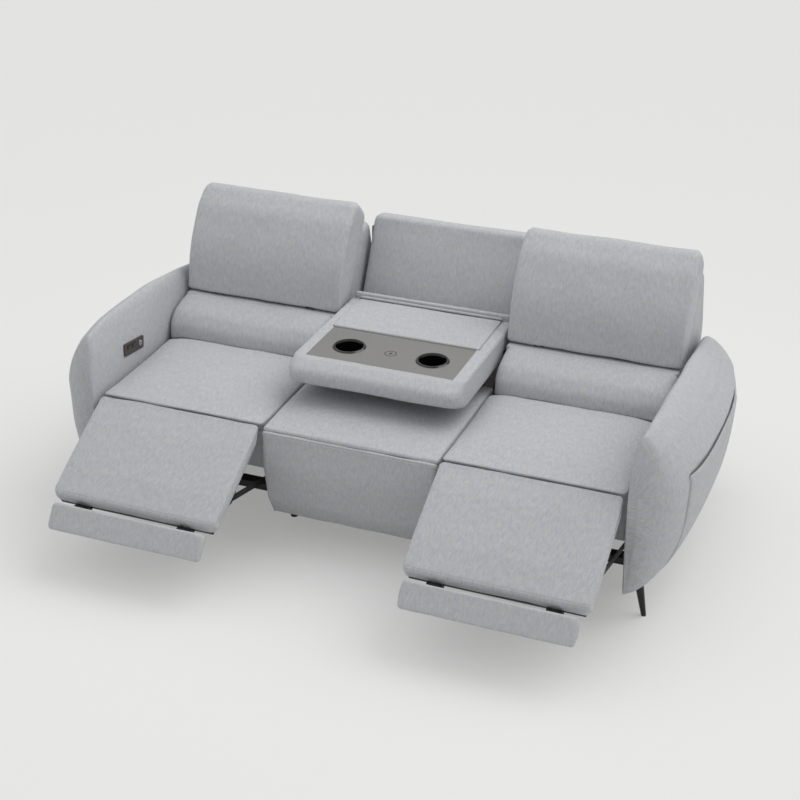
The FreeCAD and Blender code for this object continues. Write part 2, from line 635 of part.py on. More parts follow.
def make_footrest():
    x0 = SEAT_MIDDLE_X - PAD_WIDTH / 2
    x1 = SEAT_MIDDLE_X + PAD_WIDTH / 2
    both("footrest_pad", cushion(x0, x1, pad_profile))
    top = BOARD_BOTTOM + BOARD_THICKNESS
    ears = (layer(3, True), layer(3, False))
    board = plate_x(foot_corners(rectangle(60, PAD_LENGTH - 4, BOARD_BOTTOM, top, 0)),
                    ears[0][0], ears[1][1])
    ear = foot_corners([(PAD_PIVOT_ALONG - 60, BOARD_BOTTOM + 4, 3), (PAD_PIVOT_ALONG - 12, -PAD_PIVOT_BELOW - 12, 14),
                        (PAD_PIVOT_ALONG + 12, -PAD_PIVOT_BELOW - 12, 11), (PAD_PIVOT_ALONG + 60, BOARD_BOTTOM + 4, 3)])
    for inner, (e0, e1) in zip((True, False), ears):
        board = board.fuse(plate_x(ear, e0, e1))
        pin = (layer(2, inner)[0] - 0.5, e1 - 1) if inner else (e0 + 1, layer(2, inner)[1] + 0.5)
        board = board.fuse(rod_x(LINK_PIN_R, pin[0], pin[1], *PAD_PIVOT))
    a, b = FLAP_HINGE
    lug = foot_corners([(PAD_LENGTH - 44, BOARD_BOTTOM, 0), (a + 2, BOARD_BOTTOM, 0), (a + 7, b - 8, 5),
                        (a + 7, b + 7, 6), (a - 7, b + 7, 6), (a - 7, BOARD_BOTTOM + 9, 0),
                        (PAD_LENGTH - 44, BOARD_BOTTOM + 9, 0)])
    for x in flap_bracket_xs():
        for side in (x - 23, x + 19):
            board = board.fuse(plate_x(lug, side, side + 4))
        board = board.fuse(rod_x(3, x - 21, x + 21, *foot(a, b)))
    both("footrest_board", board)
    middle = SEAT_MIDDLE_X - 2
    both("flap_pad", cushion(middle - FLAP_WIDTH / 2, middle + FLAP_WIDTH / 2, flap_profile))
    brackets = []
    base = -FLAP_THICKNESS
    for x in flap_bracket_xs():
        knuckle = rod_x(7, x - 18, x + 18, *foot(a, b))
        neck = foot_corners([flap(*p) + (0,) for p in ((-4, base - 21), (4.5, base - 21), (4.5, base - 1.5),
                                                       (-4, base - 1.5))])
        sole = foot_corners([flap(*p) + (0,) for p in ((-4, base - 2.5), (40, base - 2.5), (40, base), (-4, base))])
        bracket = knuckle.fuse(plate_x(neck, x - 17, x + 17)).fuse(plate_x(sole, x - 17, x + 17))
        brackets.append(bracket.cut(rod_x(3 + RUNNING_GAP, x - 30, x + 30, *foot(a, b))))
    both("flap_brackets", Part.Compound(brackets))


def make_seats():
    both("seat_cushion", cushion(SEAT_INNER_X, SEAT_OUTER_X, seat_profile))
    x0 = layer(3, True)[0] + 1
    x1 = layer(3, False)[1] - 1
    y0, y1, z0 = SEAM_Y + 70, SEAT_REAR_Y - 6, SEAT_BOTTOM_Z - 56
    w = FRAME_TIMBER
    rim = SEAT_BOTTOM_Z - 2.5
    rails = [block(x0, x1, y0, y0 + w, z0, rim), block(x0, x1, y1 - w, y1, z0, rim),
             block(x0, x0 + w, y0 + w, y1 - w, z0, rim), block(x1 - w, x1, y0 + w, y1 - w, z0, rim)]
    parts["seat_frames"] = pair(Part.Compound(rails))
    straps = []
    top = SEAT_BOTTOM_Z - 0.3
    across = 5
    for i in range(across):
        x = x0 + (x1 - x0) * (i + 1) / (across + 1)
        straps.append(block(x - 25, x + 25, y0 + 6, y1 - 6, top - 2.2, top))
    parts["seat_webbing"] = pair(Part.Compound(straps))
    fascia = plate_x(rectangle(y0 - 16, y0, z0 - 90, rim, 3), x0, x1)
    parts["seat_fascias"] = pair(fascia)


def middle_top_profile(drawn, crown):
    top = SEAT_FRONT_Z - 8 - drawn
    rise = 8 * crown
    base = SEAT_BOTTOM_Z - 1
    front = MIDDLE_FRONT_Y + drawn / 2
    rear = SEAT_REAR_Y + 72 - drawn / 2
    return [(front, top, 10), (MIDDLE_FRONT_Y + 134, top + 4 + rise, 160),
            (SEAT_REAR_Y - 68, top + 4 + rise, 160), (rear, top - 2, 16), (rear, base, 5), (front, base, 5)]


def middle_front_profile(drawn, crown):
    front = MIDDLE_FRONT_Y + drawn
    bulge = 6 * crown
    top = SEAT_BOTTOM_Z - 1.3
    rear = MIDDLE_FRONT_Y + 75
    return [(front, top, 6), (front - 4 - bulge, top - 95, 200), (front + 20, MIDDLE_FRONT_Z + 67, 60),
            (front + 56, MIDDLE_FRONT_Z, 18), (rear, MIDDLE_FRONT_Z, 6), (rear, top, 3)]


def make_middle():
    half = MIDDLE_HALF + 1
    parts["middle_seat_cushion"] = cushion(-half, half, middle_top_profile)
    parts["middle_seat_front"] = cushion(-half, half, middle_front_profile)
    outer = MIDDLE_HALF - 13
    front = MIDDLE_FRONT_Y + 75 + SIDE_TIMBER
    rear = SEAT_REAR_Y + 49
    top = SEAT_BOTTOM_Z - 1.3
    low = RAIL_TOP_Z + 0.3
    side = block(outer - SIDE_TIMBER, outer, front, rear, low, top)
    frame = [side, mirrored(side), block(-outer, outer, front - SIDE_TIMBER, front, low + 12, top),
             block(-outer, outer, rear, rear + SIDE_TIMBER, low, top)]
    parts["middle_seat_frame"] = Part.Compound(frame)
    back = cushion(-MIDDLE_HALF, MIDDLE_HALF, middle_back_profile)
    parts["middle_back"] = back


def middle_back_profile(drawn, crown):
    face = -3 * crown + drawn / 2
    top = SHELL_TOP_Z + 19 - drawn / 2
    front = REAR_Y - 193
    return [(front, MIDDLE_BACK_Z, 6), (front, SHELL_LEDGE_Z - 21, 20), (front + 10 + face, SHELL_LEDGE_Z - 1, 30),
            (REAR_Y - 70 + face, top - 37, 60), (REAR_Y - 56, top, 17), (REAR_Y - 8 - drawn / 2, top - 5, 24),
            (REAR_Y, SHELL_LEDGE_Z + 19, 200), (REAR_Y - 20, MIDDLE_BACK_Z, 6)]


def shell_profile(drawn, crown):
    top = SHELL_TOP_Z - drawn / 2
    ledge = SHELL_FRONT_Y + SHELL_LEDGE_DEPTH
    return [(SHELL_FRONT_Y, SHELL_BOTTOM_Z, 10), (SHELL_FRONT_Y, SHELL_LEDGE_Z, 6), (ledge, SHELL_LEDGE_Z, 4),
            (ledge + 118, top - 12, 20), (ledge + 126, top, 10), (REAR_Y - 20 - drawn / 2, top, 28),
            (REAR_Y, SHELL_LEDGE_Z + 19, 200), (REAR_Y - 17, SHELL_BOTTOM_Z, 20)]


def make_back():
    shell = cushion(BACK_INNER_X, BACK_OUTER_X, shell_profile)
    rear = REAR_Y - 54
    apron = plate_x([(rear, BACK_BOTTOM_Z, 4), (rear + 34, BACK_BOTTOM_Z, 10), (rear + 38, SHELL_BOTTOM_Z + 15, 2),
                     (rear, SHELL_BOTTOM_Z + 15, 2)], BACK_INNER_X + 16, BACK_OUTER_X - 16)
    both("back_shell", shell.fuse(apron))
    both("lumbar_cushion", cushion(BACK_INNER_X + 3, BACK_OUTER_X + 2, lumbar_profile))
    irons = []
    for inner in (True, False):
        x0, x1 = layer(1, inner)
        x0, x1 = (x0 + 2, x1 + 3) if inner else (x0 - 3, x1 - 2)
        low = SHELL_BOTTOM_Z - 11
        plate = plate_x([(RECLINE_Y - 16, RECLINE_Z - 15, 14), (RECLINE_Y + 16, RECLINE_Z - 15, 14),
                         (RECLINE_Y + 140, low, 0), (RECLINE_Y + 140, SHELL_BOTTOM_Z, 0),
                         (RECLINE_Y - 24, SHELL_BOTTOM_Z, 0), (RECLINE_Y - 24, low, 0)], x0, x1)
        plate = plate.cut(rod_x(RECLINE_PIN_R + RUNNING_GAP, x0 - 1, x1 + 1, RECLINE_Y, RECLINE_Z))
        flange = (x0, x0 + 34) if inner else (x1 - 34, x1)
        irons.append(plate.fuse(block(flange[0], flange[1], RECLINE_Y - 22, RECLINE_Y + 140,
                                      SHELL_BOTTOM_Z - LINK_PLATE, SHELL_BOTTOM_Z)))
    lugs = []
    tongues = []
    pad = cushion(BACK_INNER_X, BACK_OUTER_X + 2, head_profile)
    y, z = head_axis()
    slot_top = z + 17
    for x in (SEAT_MIDDLE_X - 170, SEAT_MIDDLE_X + 170):
        pad = pad.cut(rod_x(HEAD_LUG_R + 1.5, x - 16, x + 16, y, z))
        pad = pad.cut(plate_x([(y - 9, z - 24, 0), (y + 62, z - 24, 0), (y + 62, slot_top, 0),
                               (y + 14, slot_top, 0), (y - 6, z + 6, 0)], x - 16, x + 16))
        lug = [(y + 6, SHELL_LEDGE_Z, 0), (y + 24, SHELL_LEDGE_Z, 0), (y + 8, z + 7, 6), (y - 7, z + 7, 6.5),
               (y - 7, z - 6, 4)]
        iron = plate_x(lug, x - 14, x - 10).fuse(plate_x(lug, x + 10, x + 14))
        lugs.append(iron.fuse(rod_x(HEAD_PIN_R, x - 12, x + 12, y, z)))
        tongue = rod_x(HEAD_LUG_R, x - 9, x + 9, y, z).fuse(
            plate_x([(y, z - 6, 0), (y + 50, z + 6, 0), (y + 58, slot_top, 0), (y + 16, slot_top, 0),
                     (y, z + 6.5, 0)], x - 9, x + 9))
        tongues.append(tongue.cut(rod_x(HEAD_PIN_R + RUNNING_GAP, x - 20, x + 20, y, z)))
    both("back_irons", Part.Compound(irons + lugs))
    both("headrest_pad", pad)
    both("headrest_hinges", Part.Compound(tongues))
    parts["seam_tab"] = block(BACK_OUTER_X - 16, BACK_OUTER_X - 13, REAR_Y - 2, REAR_Y + 8,
                              SHELL_LEDGE_Z - 33, SHELL_LEDGE_Z - 1)


def make_console():
    body = cushion(-CONSOLE_HALF, CONSOLE_HALF, console_profile)
    seat = CONSOLE_TOP_Z - 1.5 - PLATE_THICKNESS - 0.3
    gap = 0.5
    over = CONSOLE_TOP_Z + 30
    body = body.cut(block(-PLATE_HALF - gap, PLATE_HALF + gap, PLATE_FRONT_Y - gap, PLATE_REAR_Y + gap, seat, over))
    lid_seat = CONSOLE_TOP_Z + 6 - LID_THICKNESS
    body = body.cut(block(-LID_HALF - 2, LID_HALF + 2, PLATE_REAR_Y, LID_REAR_Y + 8, lid_seat - 0.3, over))
    body = body.cut(block(-BIN_HALF - gap, BIN_HALF + gap, PLATE_REAR_Y + 13, LID_REAR_Y - 13,
                          BIN_FLOOR_Z - BIN_WALL - 0.3, over))
    cup_floor = CONSOLE_TOP_Z - 1.5 - CUP_DEPTH
    for x in (-CUP_X, CUP_X):
        body = body.cut(Part.makeCylinder(CUP_INNER_R + CUP_WALL + 0.5, 90, V(x, CUP_Y, cup_floor - CUP_WALL - 0.3)))
    body = body.cut(Part.makeCylinder(41, 60, V(0, CUP_Y, seat - 9)))
    strip = plate_x([(LID_REAR_Y + 8, CONSOLE_TOP_Z - 2, 1), (CONSOLE_REAR_Y, CONSOLE_TOP_Z - 2, 1),
                     (CONSOLE_REAR_Y, CONSOLE_TOP_Z + 15, 6), (LID_REAR_Y + 8, CONSOLE_TOP_Z + 15, 5)],
                    -CONSOLE_HALF + 14, CONSOLE_HALF - 14)
    body = body.fuse(strip)
    low = CONSOLE_AXIS_Z - 19
    high = CONSOLE_AXIS_Z + 19
    notch = plate_x([(CONSOLE_AXIS_Y - 38, low, 0), (CONSOLE_REAR_Y + 20, low, 0), (CONSOLE_REAR_Y + 20, high, 0),
                     (CONSOLE_AXIS_Y - 16, high, 8)], CONSOLE_NECK_HALF, CONSOLE_HALF + 10)
    notch = notch.fuse(rod_x(18, CONSOLE_NECK_HALF, CONSOLE_HALF + 10, CONSOLE_AXIS_Y, CONSOLE_AXIS_Z))
    bore = rod_x(CONSOLE_PIN_R + RUNNING_GAP, CONSOLE_NECK_HALF - 26, CONSOLE_HALF, CONSOLE_AXIS_Y, CONSOLE_AXIS_Z)
    for cutter in (notch, bore):
        body = body.cut(cutter).cut(mirrored(cutter))
    parts["console_body"] = body
    plate = plate_z(rectangle(-PLATE_HALF, PLATE_HALF, PLATE_FRONT_Y, PLATE_REAR_Y, 4), seat + 0.3,
                    seat + 0.3 + PLATE_THICKNESS)
    cups = []
    outer = CUP_INNER_R + CUP_WALL
    top = seat + 0.3 + PLATE_THICKNESS
    for x in (-CUP_X, CUP_X):
        plate = plate.cut(Part.makeCylinder(outer + 0.3, 20, V(x, CUP_Y, seat - 5)))
        section = [V(0, 0, cup_floor - CUP_WALL), V(outer, 0, cup_floor - CUP_WALL), V(outer, 0, top),
                   V(CUP_RIM_R, 0, top), V(CUP_RIM_R - 4, 0, top + CUP_RIM_RISE),
                   V(CUP_INNER_R + 2, 0, top + CUP_RIM_RISE - 1), V(CUP_INNER_R, 0, top - 2),
                   V(CUP_INNER_R, 0, cup_floor), V(0, 0, cup_floor)]
        cup = Part.Face(Part.makePolygon(section + [section[0]])).revolve(V(0, 0, 0), V(0, 0, 1), 360)
        cup.translate(V(x, CUP_Y, 0))
        cups.append(cup)
    parts["console_plate"] = plate
    parts["cup_holders"] = Part.Compound(cups)
    parts["charging_coil"] = Part.makeCylinder(40, 8.5, V(0, CUP_Y, seat - 8.7))
    x, y0, y1 = BIN_HALF, PLATE_REAR_Y + 13.5, LID_REAR_Y - 13.5
    tray = block(-x, x, y0, y1, BIN_FLOOR_Z - BIN_WALL, lid_seat - 0.6)
    parts["console_bin"] = tray.cut(block(-x + BIN_WALL, x - BIN_WALL, y0 + BIN_WALL, y1 - BIN_WALL,
                                          BIN_FLOOR_Z, lid_seat + 1))
    make_lid(lid_seat)
    arm = plate_x([(CONSOLE_AXIS_Y - 10, CONSOLE_AXIS_Z + 13, 12), (CONSOLE_AXIS_Y + 14, CONSOLE_AXIS_Z + 13, 13),
                   (CONSOLE_AXIS_Y + 14, CONSOLE_AXIS_Z - 15, 13), (CONSOLE_AXIS_Y - 102, SEAT_BOTTOM_Z - 14, 30),
                   (CONSOLE_AXIS_Y - 142, SEAT_BOTTOM_Z - 86, 10), (CONSOLE_AXIS_Y - 252, SEAT_BOTTOM_Z - 86, 8),
                   (CONSOLE_AXIS_Y - 252, SEAT_BOTTOM_Z - 8, 8), (CONSOLE_AXIS_Y - 110, SEAT_BOTTOM_Z - 8, 20)],
                  MIDDLE_HALF - 13, MIDDLE_HALF - 7)
    pin = rod_x(CONSOLE_PIN_R, CONSOLE_NECK_HALF - 24, MIDDLE_HALF - 8, CONSOLE_AXIS_Y, CONSOLE_AXIS_Z)
    parts["console_brackets"] = pair(arm.fuse(pin))


def lid_profile(drawn, crown):
    base = CONSOLE_TOP_Z + 6 - LID_THICKNESS
    top = CONSOLE_TOP_Z + 6 - drawn / 2
    rise = 1 + 3 * crown
    return [(PLATE_REAR_Y + 1 + drawn / 3, top, 5), (-40, top + rise, 90), (60, top + rise, 90),
            (LID_REAR_Y, top, 3), (LID_REAR_Y, base, 2), (PLATE_REAR_Y + 1 + drawn / 3, base, 3)]


def make_lid(lid_seat):
    half = LID_HALF
    parts["console_lid"] = cushion(-half, half, lid_profile)
    y = LID_REAR_Y + 4
    z = CONSOLE_TOP_Z + 9
    leaves = []
    pins = []
    for x in (-150.0, 150.0):
        leaf = plate_x([(LID_REAR_Y, lid_seat + 2, 0), (LID_REAR_Y + 1.4, lid_seat + 2, 0),
                        (LID_REAR_Y + 1.4, z - 2, 0), (y, z - 1, 0), (y, z + 1, 0), (LID_REAR_Y, z - 3, 0)],
                       x - 20, x + 20)
        leaf = leaf.fuse(rod_x(3.2, x - 20, x + 20, y, z))
        leaves.append(leaf.cut(rod_x(2 + RUNNING_GAP, x - 40, x + 40, y, z)))
        cheek = rod_x(3.2, x + 20.4, x + 30, y, z)
        web = plate_x([(y, z - 2, 0), (LID_REAR_Y + 8, z - 2, 0), (LID_REAR_Y + 8, z + 2, 0), (y, z + 2, 0)],
                      x + 20.4, x + 30)
        ear = cheek.fuse(web)
        other = ear.mirror(V(x, 0, 0), V(1, 0, 0))
        pins.append(ear.fuse(other).fuse(rod_x(2, x - 30, x + 30, y, z)))
    parts["lid_hinge_leaves"] = Part.Compound(leaves)
    parts["lid_hinge_pins"] = Part.Compound(pins)


def main():
    os.makedirs("parts", exist_ok=True)
    for make in (make_arms, make_switches, make_legs, make_base, make_mechanism, make_links, make_footrest,
                 make_seats, make_middle, make_back, make_console):
        make()
    whole = FreeCAD.BoundBox()
    for shape in parts.values():
        whole.add(shape.optimalBoundingBox(False, False))
    shift = -(whole.YMin + whole.YMax) / 2
    for name, shape in sorted(parts.items()):
        shape.translate(V(0, shift, 0))
        shape.exportStep(os.path.join("parts", name + ".step"))
    print("nodes", len(parts), "shift", round(shift, 3), "x", round(whole.XMax - whole.XMin, 1),
          "y", round(whole.YMax - whole.YMin, 1), "z", round(whole.ZMin, 2), round(whole.ZMax, 1))


main()
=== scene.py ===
"""Looks of a reclining sofa with a drop-down middle console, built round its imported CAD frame."""
import json
import math

import bpy
import numpy as np
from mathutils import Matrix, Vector


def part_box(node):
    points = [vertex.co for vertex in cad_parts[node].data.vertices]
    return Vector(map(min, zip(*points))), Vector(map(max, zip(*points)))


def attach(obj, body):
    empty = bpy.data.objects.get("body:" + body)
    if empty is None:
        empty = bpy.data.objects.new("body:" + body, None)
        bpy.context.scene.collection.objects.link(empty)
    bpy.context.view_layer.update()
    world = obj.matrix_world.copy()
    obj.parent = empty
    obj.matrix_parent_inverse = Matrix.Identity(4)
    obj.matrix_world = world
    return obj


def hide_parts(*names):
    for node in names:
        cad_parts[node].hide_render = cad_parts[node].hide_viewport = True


MM = 0.001
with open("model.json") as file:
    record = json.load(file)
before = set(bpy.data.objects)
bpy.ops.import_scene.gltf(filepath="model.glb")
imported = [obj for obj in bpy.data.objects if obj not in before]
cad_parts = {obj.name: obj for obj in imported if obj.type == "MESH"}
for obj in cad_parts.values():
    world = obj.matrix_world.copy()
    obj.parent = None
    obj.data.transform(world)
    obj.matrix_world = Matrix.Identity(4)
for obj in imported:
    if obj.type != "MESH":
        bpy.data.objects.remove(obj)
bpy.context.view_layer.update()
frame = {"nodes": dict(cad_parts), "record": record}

# The rear of the arms places the side-view drawing, whose depths are measured from the recline pin's side
ARM_REAR_Y = 343.0
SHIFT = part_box("right_arm")[1].y / MM - ARM_REAR_Y

# Camera, from the lines of the photograph: millimetres in the drawing's frame
CAMERA_AZIMUTH = 21.46
CAMERA_ELEVATION = 27.25
CAMERA_DISTANCE = 5085.63
CAMERA_TARGET = (22.78, -200.01, 399.82)
CAMERA_ROLL = 0.13
CAMERA_LENS = 71.95
SENSOR = 36.0

# Sewing
STITCH_PITCH = 8.0
STITCH_LENGTH = 5.6
STITCH_WIDTH = 1.5
ROW_GAP = 7.0


def at(x, y, z):
    """A drawing point in millimetres, as a point of the frame in metres."""
    return (x * MM, (y + SHIFT) * MM, z * MM)


def mesh_object(name, vertices, faces, smooth=True):
    """New mesh object from points of the frame in metres."""
    mesh = bpy.data.meshes.new(name)
    mesh.from_pydata([tuple(v) for v in vertices], [], faces)
    mesh.validate()
    if smooth:
        mesh.polygons.foreach_set("use_smooth", [True] * len(mesh.polygons))
    obj = bpy.data.objects.new(name, mesh)
    bpy.context.scene.collection.objects.link(obj)
    return obj


def waves(points, length, seed):
    """Smooth random field over 3-D points in millimetres, about -1 to 1."""
    random = np.random.default_rng(seed)
    total = np.zeros(len(points))
    count = 7
    for _ in range(count):
        direction = random.normal(size=3)
        direction /= np.linalg.norm(direction)
        scale = length * random.uniform(0.7, 1.6)
        total += np.sin(points @ direction * (2 * math.pi / scale) + random.uniform(0, 2 * math.pi))
    return total / count * 1.6


def bend(before, here, after, radius):
    """Start angle data of the arc that rounds one corner."""
    here = np.array(here, float)
    a = np.array(before, float) - here
    b = np.array(after, float) - here
    a /= np.linalg.norm(a)
    b /= np.linalg.norm(b)
    half = math.acos(float(np.clip(a @ b, -1, 1))) / 2
    setback = radius / math.tan(half)
    middle = a + b
    centre = here + middle / np.linalg.norm(middle) * radius / math.sin(half)
    return here + a * setback, centre, here + b * setback


def rounded(corners, counts=None, spacing=9.0):
    """Closed outline through rounded corners, with the same count of points on each run and arc."""
    total = len(corners)
    bends = []
    for i, (a, b, radius) in enumerate(corners):
        before, after = corners[i - 1], corners[(i + 1) % total]
        bends.append(bend(before[:2], (a, b), after[:2], max(radius, 0.5)))
    points = []
    made = []
    for i, (start, centre, end) in enumerate(bends):
        radius = np.linalg.norm(start - centre)
        first = math.atan2(*(start - centre)[::-1])
        turn = (math.atan2(*(end - centre)[::-1]) - first + math.pi) % (2 * math.pi) - math.pi
        following = bends[(i + 1) % total][0]
        run = np.linalg.norm(following - end)
        if counts is None:
            arc_count = max(3, round(abs(turn) * radius / spacing), round(abs(turn) / 0.25))
            run_count = max(1, round(run / spacing))
        else:
            arc_count, run_count = counts[i]
        made.append((arc_count, run_count))
        for k in range(arc_count + 1):
            angle = first + turn * k / arc_count
            points.append(centre + radius * np.array([math.cos(angle), math.sin(angle)]))
        for k in range(1, run_count):
            points.append(end + (following - end) * k / run_count)
    return np.array(points), made


def outward(loop):
    """Outward unit normals of a closed outline, whichever way it runs."""
    ahead = np.roll(loop, -1, 0) - np.roll(loop, 1, 0)
    normal = np.stack([ahead[:, 1], -ahead[:, 0]], 1)
    normal /= np.maximum(np.linalg.norm(normal, axis=1), 1e-9)[:, None]
    area = np.sum(loop[:, 0] * np.roll(loop[:, 1], -1) - np.roll(loop[:, 0], -1) * loop[:, 1])
    return normal if area > 0 else -normal


def stations(width, edge, spacing):
    """Distances from the left end, close together over the rounded edges."""
    turn = [edge * (1 - math.cos(math.pi / 2 * k / 6)) for k in range(7)]
    near = [d for d in turn if d < width / 2]
    near += [edge + step for step in (3.0, 7.0, 12.0, 19.0, 27.0) if edge + step < width / 2 - 4]
    inner = np.linspace(near[-1], width - near[-1], max(2, round((width - 2 * near[-1]) / spacing)))
    return np.array(near[:-1] + list(inner) + [width - d for d in reversed(near[:-1])])


def skin(name, node, body, x0, x1, profile, edge=13.0, puff=1.6, seed=1, pucker=0.7, spacing=9.0,
         material="upholstery", fill=0.8, welt=True):
    """Sewn cover over one CAD cushion, whose side-view outline follows profile(end, crown)."""
    width = x1 - x0
    reach = stations(width, edge, spacing)
    loops = []
    counts = rounded(profile(width / 2, 1.0), None, spacing)[1]
    for d in reach:
        end = min(d, width - d)
        crown = 1 - ((d - width / 2) / (width / 2)) ** 2
        corners = profile(end, crown)
        loop = rounded(corners, counts, spacing)[0]
        inset = edge - math.sqrt(max(edge ** 2 - max(edge - end, 0) ** 2, 0))
        if welt:
            inset += 1.1 * math.exp(-((end - edge * 0.9) / 2.2) ** 2)
        normal = outward(loop)
        loops.append(loop - normal * inset)
    grid = np.zeros((len(reach), len(loops[0]), 3))
    for i, loop in enumerate(loops):
        grid[i, :, 0] = x0 + reach[i]
        grid[i, :, 1:] = loop
    normals = np.zeros_like(grid)
    for i, loop in enumerate(loops):
        normals[i, :, 1:] = outward(loop)
    flat = grid.reshape(-1, 3)
    end = np.minimum(reach, width - reach)
    share = np.clip(end / 30.0, 0, 1)[:, None]
    swell = (waves(flat, 170.0, seed) * puff + waves(flat, 55.0, seed + 50) * puff * 0.22).reshape(grid.shape[:2])
    length = np.concatenate([[0], np.cumsum(np.linalg.norm(np.diff(loops[len(loops) // 2], axis=0), axis=1))])
    gather = np.sin(length * 2 * math.pi / 21.0 + 3 * np.sin(length / 47.0 + seed)) \
        * np.sin(length / 83.0 + seed) * pucker
    gather = gather[None, :] * np.exp(-((end - edge - 6) / 14.0) ** 2)[:, None]
    grid += normals * (swell * (0.35 + 0.65 * share) + gather)[:, :, None]
    obj = grid_object(name, grid, length, reach)
    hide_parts(node)
    finish_piece(obj, body, material)
    return obj, grid, normals


def grid_object(name, grid, length, reach):
    """Closed mesh from rings of points, with flat caps, and its cloth coordinates in metres."""
    rows, columns = grid.shape[:2]
    vertices = [grid.reshape(-1, 3)]
    faces = []
    cloth = [np.stack([np.repeat(reach, columns), np.tile(length, rows)], 1)]
    for i in range(rows - 1):
        for j in range(columns):
            k = (j + 1) % columns
            faces.append((i * columns + j, i * columns + k, (i + 1) * columns + k, (i + 1) * columns + j))
    offset = rows * columns
    for side, ring, next_ring in ((0, grid[0], grid[2]), (1, grid[-1], grid[-3])):
        centre = ring.mean(0)
        previous = 0 if side == 0 else (rows - 1) * columns
        bulge = centre - next_ring.mean(0)
        bulge *= 2.5 / max(np.linalg.norm(bulge), 1e-6)
        for step in (0.25, 0.55, 0.8):
            inner = ring + (centre - ring) * step
            inner += bulge * (1 - (1 - step) ** 2)
            vertices.append(inner)
            cloth.append(inner[:, 1:])
            for j in range(columns):
                k = (j + 1) % columns
                quad = (previous + j, previous + k, offset + k, offset + j)
                faces.append(quad[::-1] if side == 0 else quad)
            previous = offset
            offset += columns
        tip = centre + bulge
        vertices.append(tip[None, :])
        cloth.append(tip[None, 1:])
        for j in range(columns):
            k = (j + 1) % columns
            triangle = (previous + j, previous + k, offset)
            faces.append(triangle[::-1] if side == 0 else triangle)
        offset += 1
    points = np.concatenate(vertices)
    placed = (points + np.array([0, SHIFT, 0])) * MM
    if signed_volume(placed, faces) < 0:
        faces = [face[::-1] for face in faces]
    obj = mesh_object(name, placed, faces)
    set_cloth(obj, np.concatenate(cloth) * MM)
    return obj


def signed_volume(points, faces):
    """Volume of a closed mesh, negative where its faces point inward."""
    total = 0.0
    for face in faces:
        for k in range(1, len(face) - 1):
            total += points[face[0]] @ np.cross(points[face[k]], points[face[k + 1]])
    return total


def set_cloth(obj, coordinates):
    """Stores each point's place on the cloth, in metres, as the map that the weave follows."""
    layer = obj.data.uv_layers.new(name="cloth")
    corner = np.zeros(len(obj.data.loops), np.int32)
    obj.data.loops.foreach_get("vertex_index", corner)
    layer.data.foreach_set("uv", coordinates[corner].astype(np.float32).ravel())


def finish_piece(obj, body, material):
    obj.data.materials.append(materials[material])
    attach(obj, body)
    return obj


def stitches(name, body, path, normal, rows=(0.0,), side=None, material="thread"):
    """Rows of raised stitches along a path of drawing points, set off sideways by each row's distance."""
    path = np.array(path, float)
    normal = np.array(normal, float)
    keep = np.concatenate([[True], np.linalg.norm(np.diff(path, axis=0), axis=1) > 1e-3])
    path, normal = path[keep], normal[keep]
    normal /= np.linalg.norm(normal, axis=1)[:, None]
    tangent = np.gradient(path, axis=0)
    tangent /= np.linalg.norm(tangent, axis=1)[:, None]
    across = np.cross(tangent, normal)
    if side is not None:
        across *= np.sign(across @ np.array(side, float))[:, None]
    vertices = []
    faces = []
    for row in rows:
        line = path + across * row + normal * 0.35
        length = np.concatenate([[0], np.cumsum(np.linalg.norm(np.diff(line, axis=0), axis=1))])
        for start in np.arange(2.0, length[-1] - STITCH_LENGTH, STITCH_PITCH):
            ends = [[np.interp(start + k, length, line[:, c]) for c in range(3)] for k in (0, STITCH_LENGTH)]
            ends = np.array(ends)
            middle = start + STITCH_LENGTH / 2
            up = np.array([np.interp(middle, length, normal[:, c]) for c in range(3)])
            aim = ends[1] - ends[0]
            aim /= np.linalg.norm(aim)
            up -= aim * (up @ aim)
            up /= np.linalg.norm(up)
            out = np.cross(aim, up)
            base = len(vertices)
            half = STITCH_WIDTH / 2
            for place, size, lift in ((ends[0], 0.5, -0.5), (ends[0] + aim * 0.9, 1.0, 0.25),
                                      (ends[1] - aim * 0.9, 1.0, 0.25), (ends[1], 0.5, -0.5)):
                for u, w in ((-1, -0.6), (-0.7, 0.6), (0.7, 0.6), (1, -0.6)):
                    vertices.append(place + out * (u * half * size) + up * (w * half * size + lift))
            for ring in range(3):
                for k in range(4):
                    a = base + ring * 4 + k
                    b = base + ring * 4 + (k + 1) % 4
                    faces.append((a, b, b + 4, a + 4))
            faces.append((base, base + 3, base + 2, base + 1))
            faces.append((base + 12, base + 13, base + 14, base + 15))
    points = (np.array(vertices) + np.array([0, SHIFT, 0])) * MM
    obj = mesh_object(name, points, faces)
    return finish_piece(obj, body, material)


def nearest_column(grid, y, z):
    """Column of a skin whose middle ring passes nearest a side-view point."""
    ring = grid[grid.shape[0] // 2]
    return int(np.argmin(np.hypot(ring[:, 1] - y, ring[:, 2] - z)))


# Materials

def srgb(r, g, b):
    """Linear colour from three 0-255 display values."""
    return tuple((v / 255 / 12.92 if v / 255 <= 0.04045 else ((v / 255 + 0.055) / 1.055) ** 2.4)
                 for v in (r, g, b)) + (1.0,)


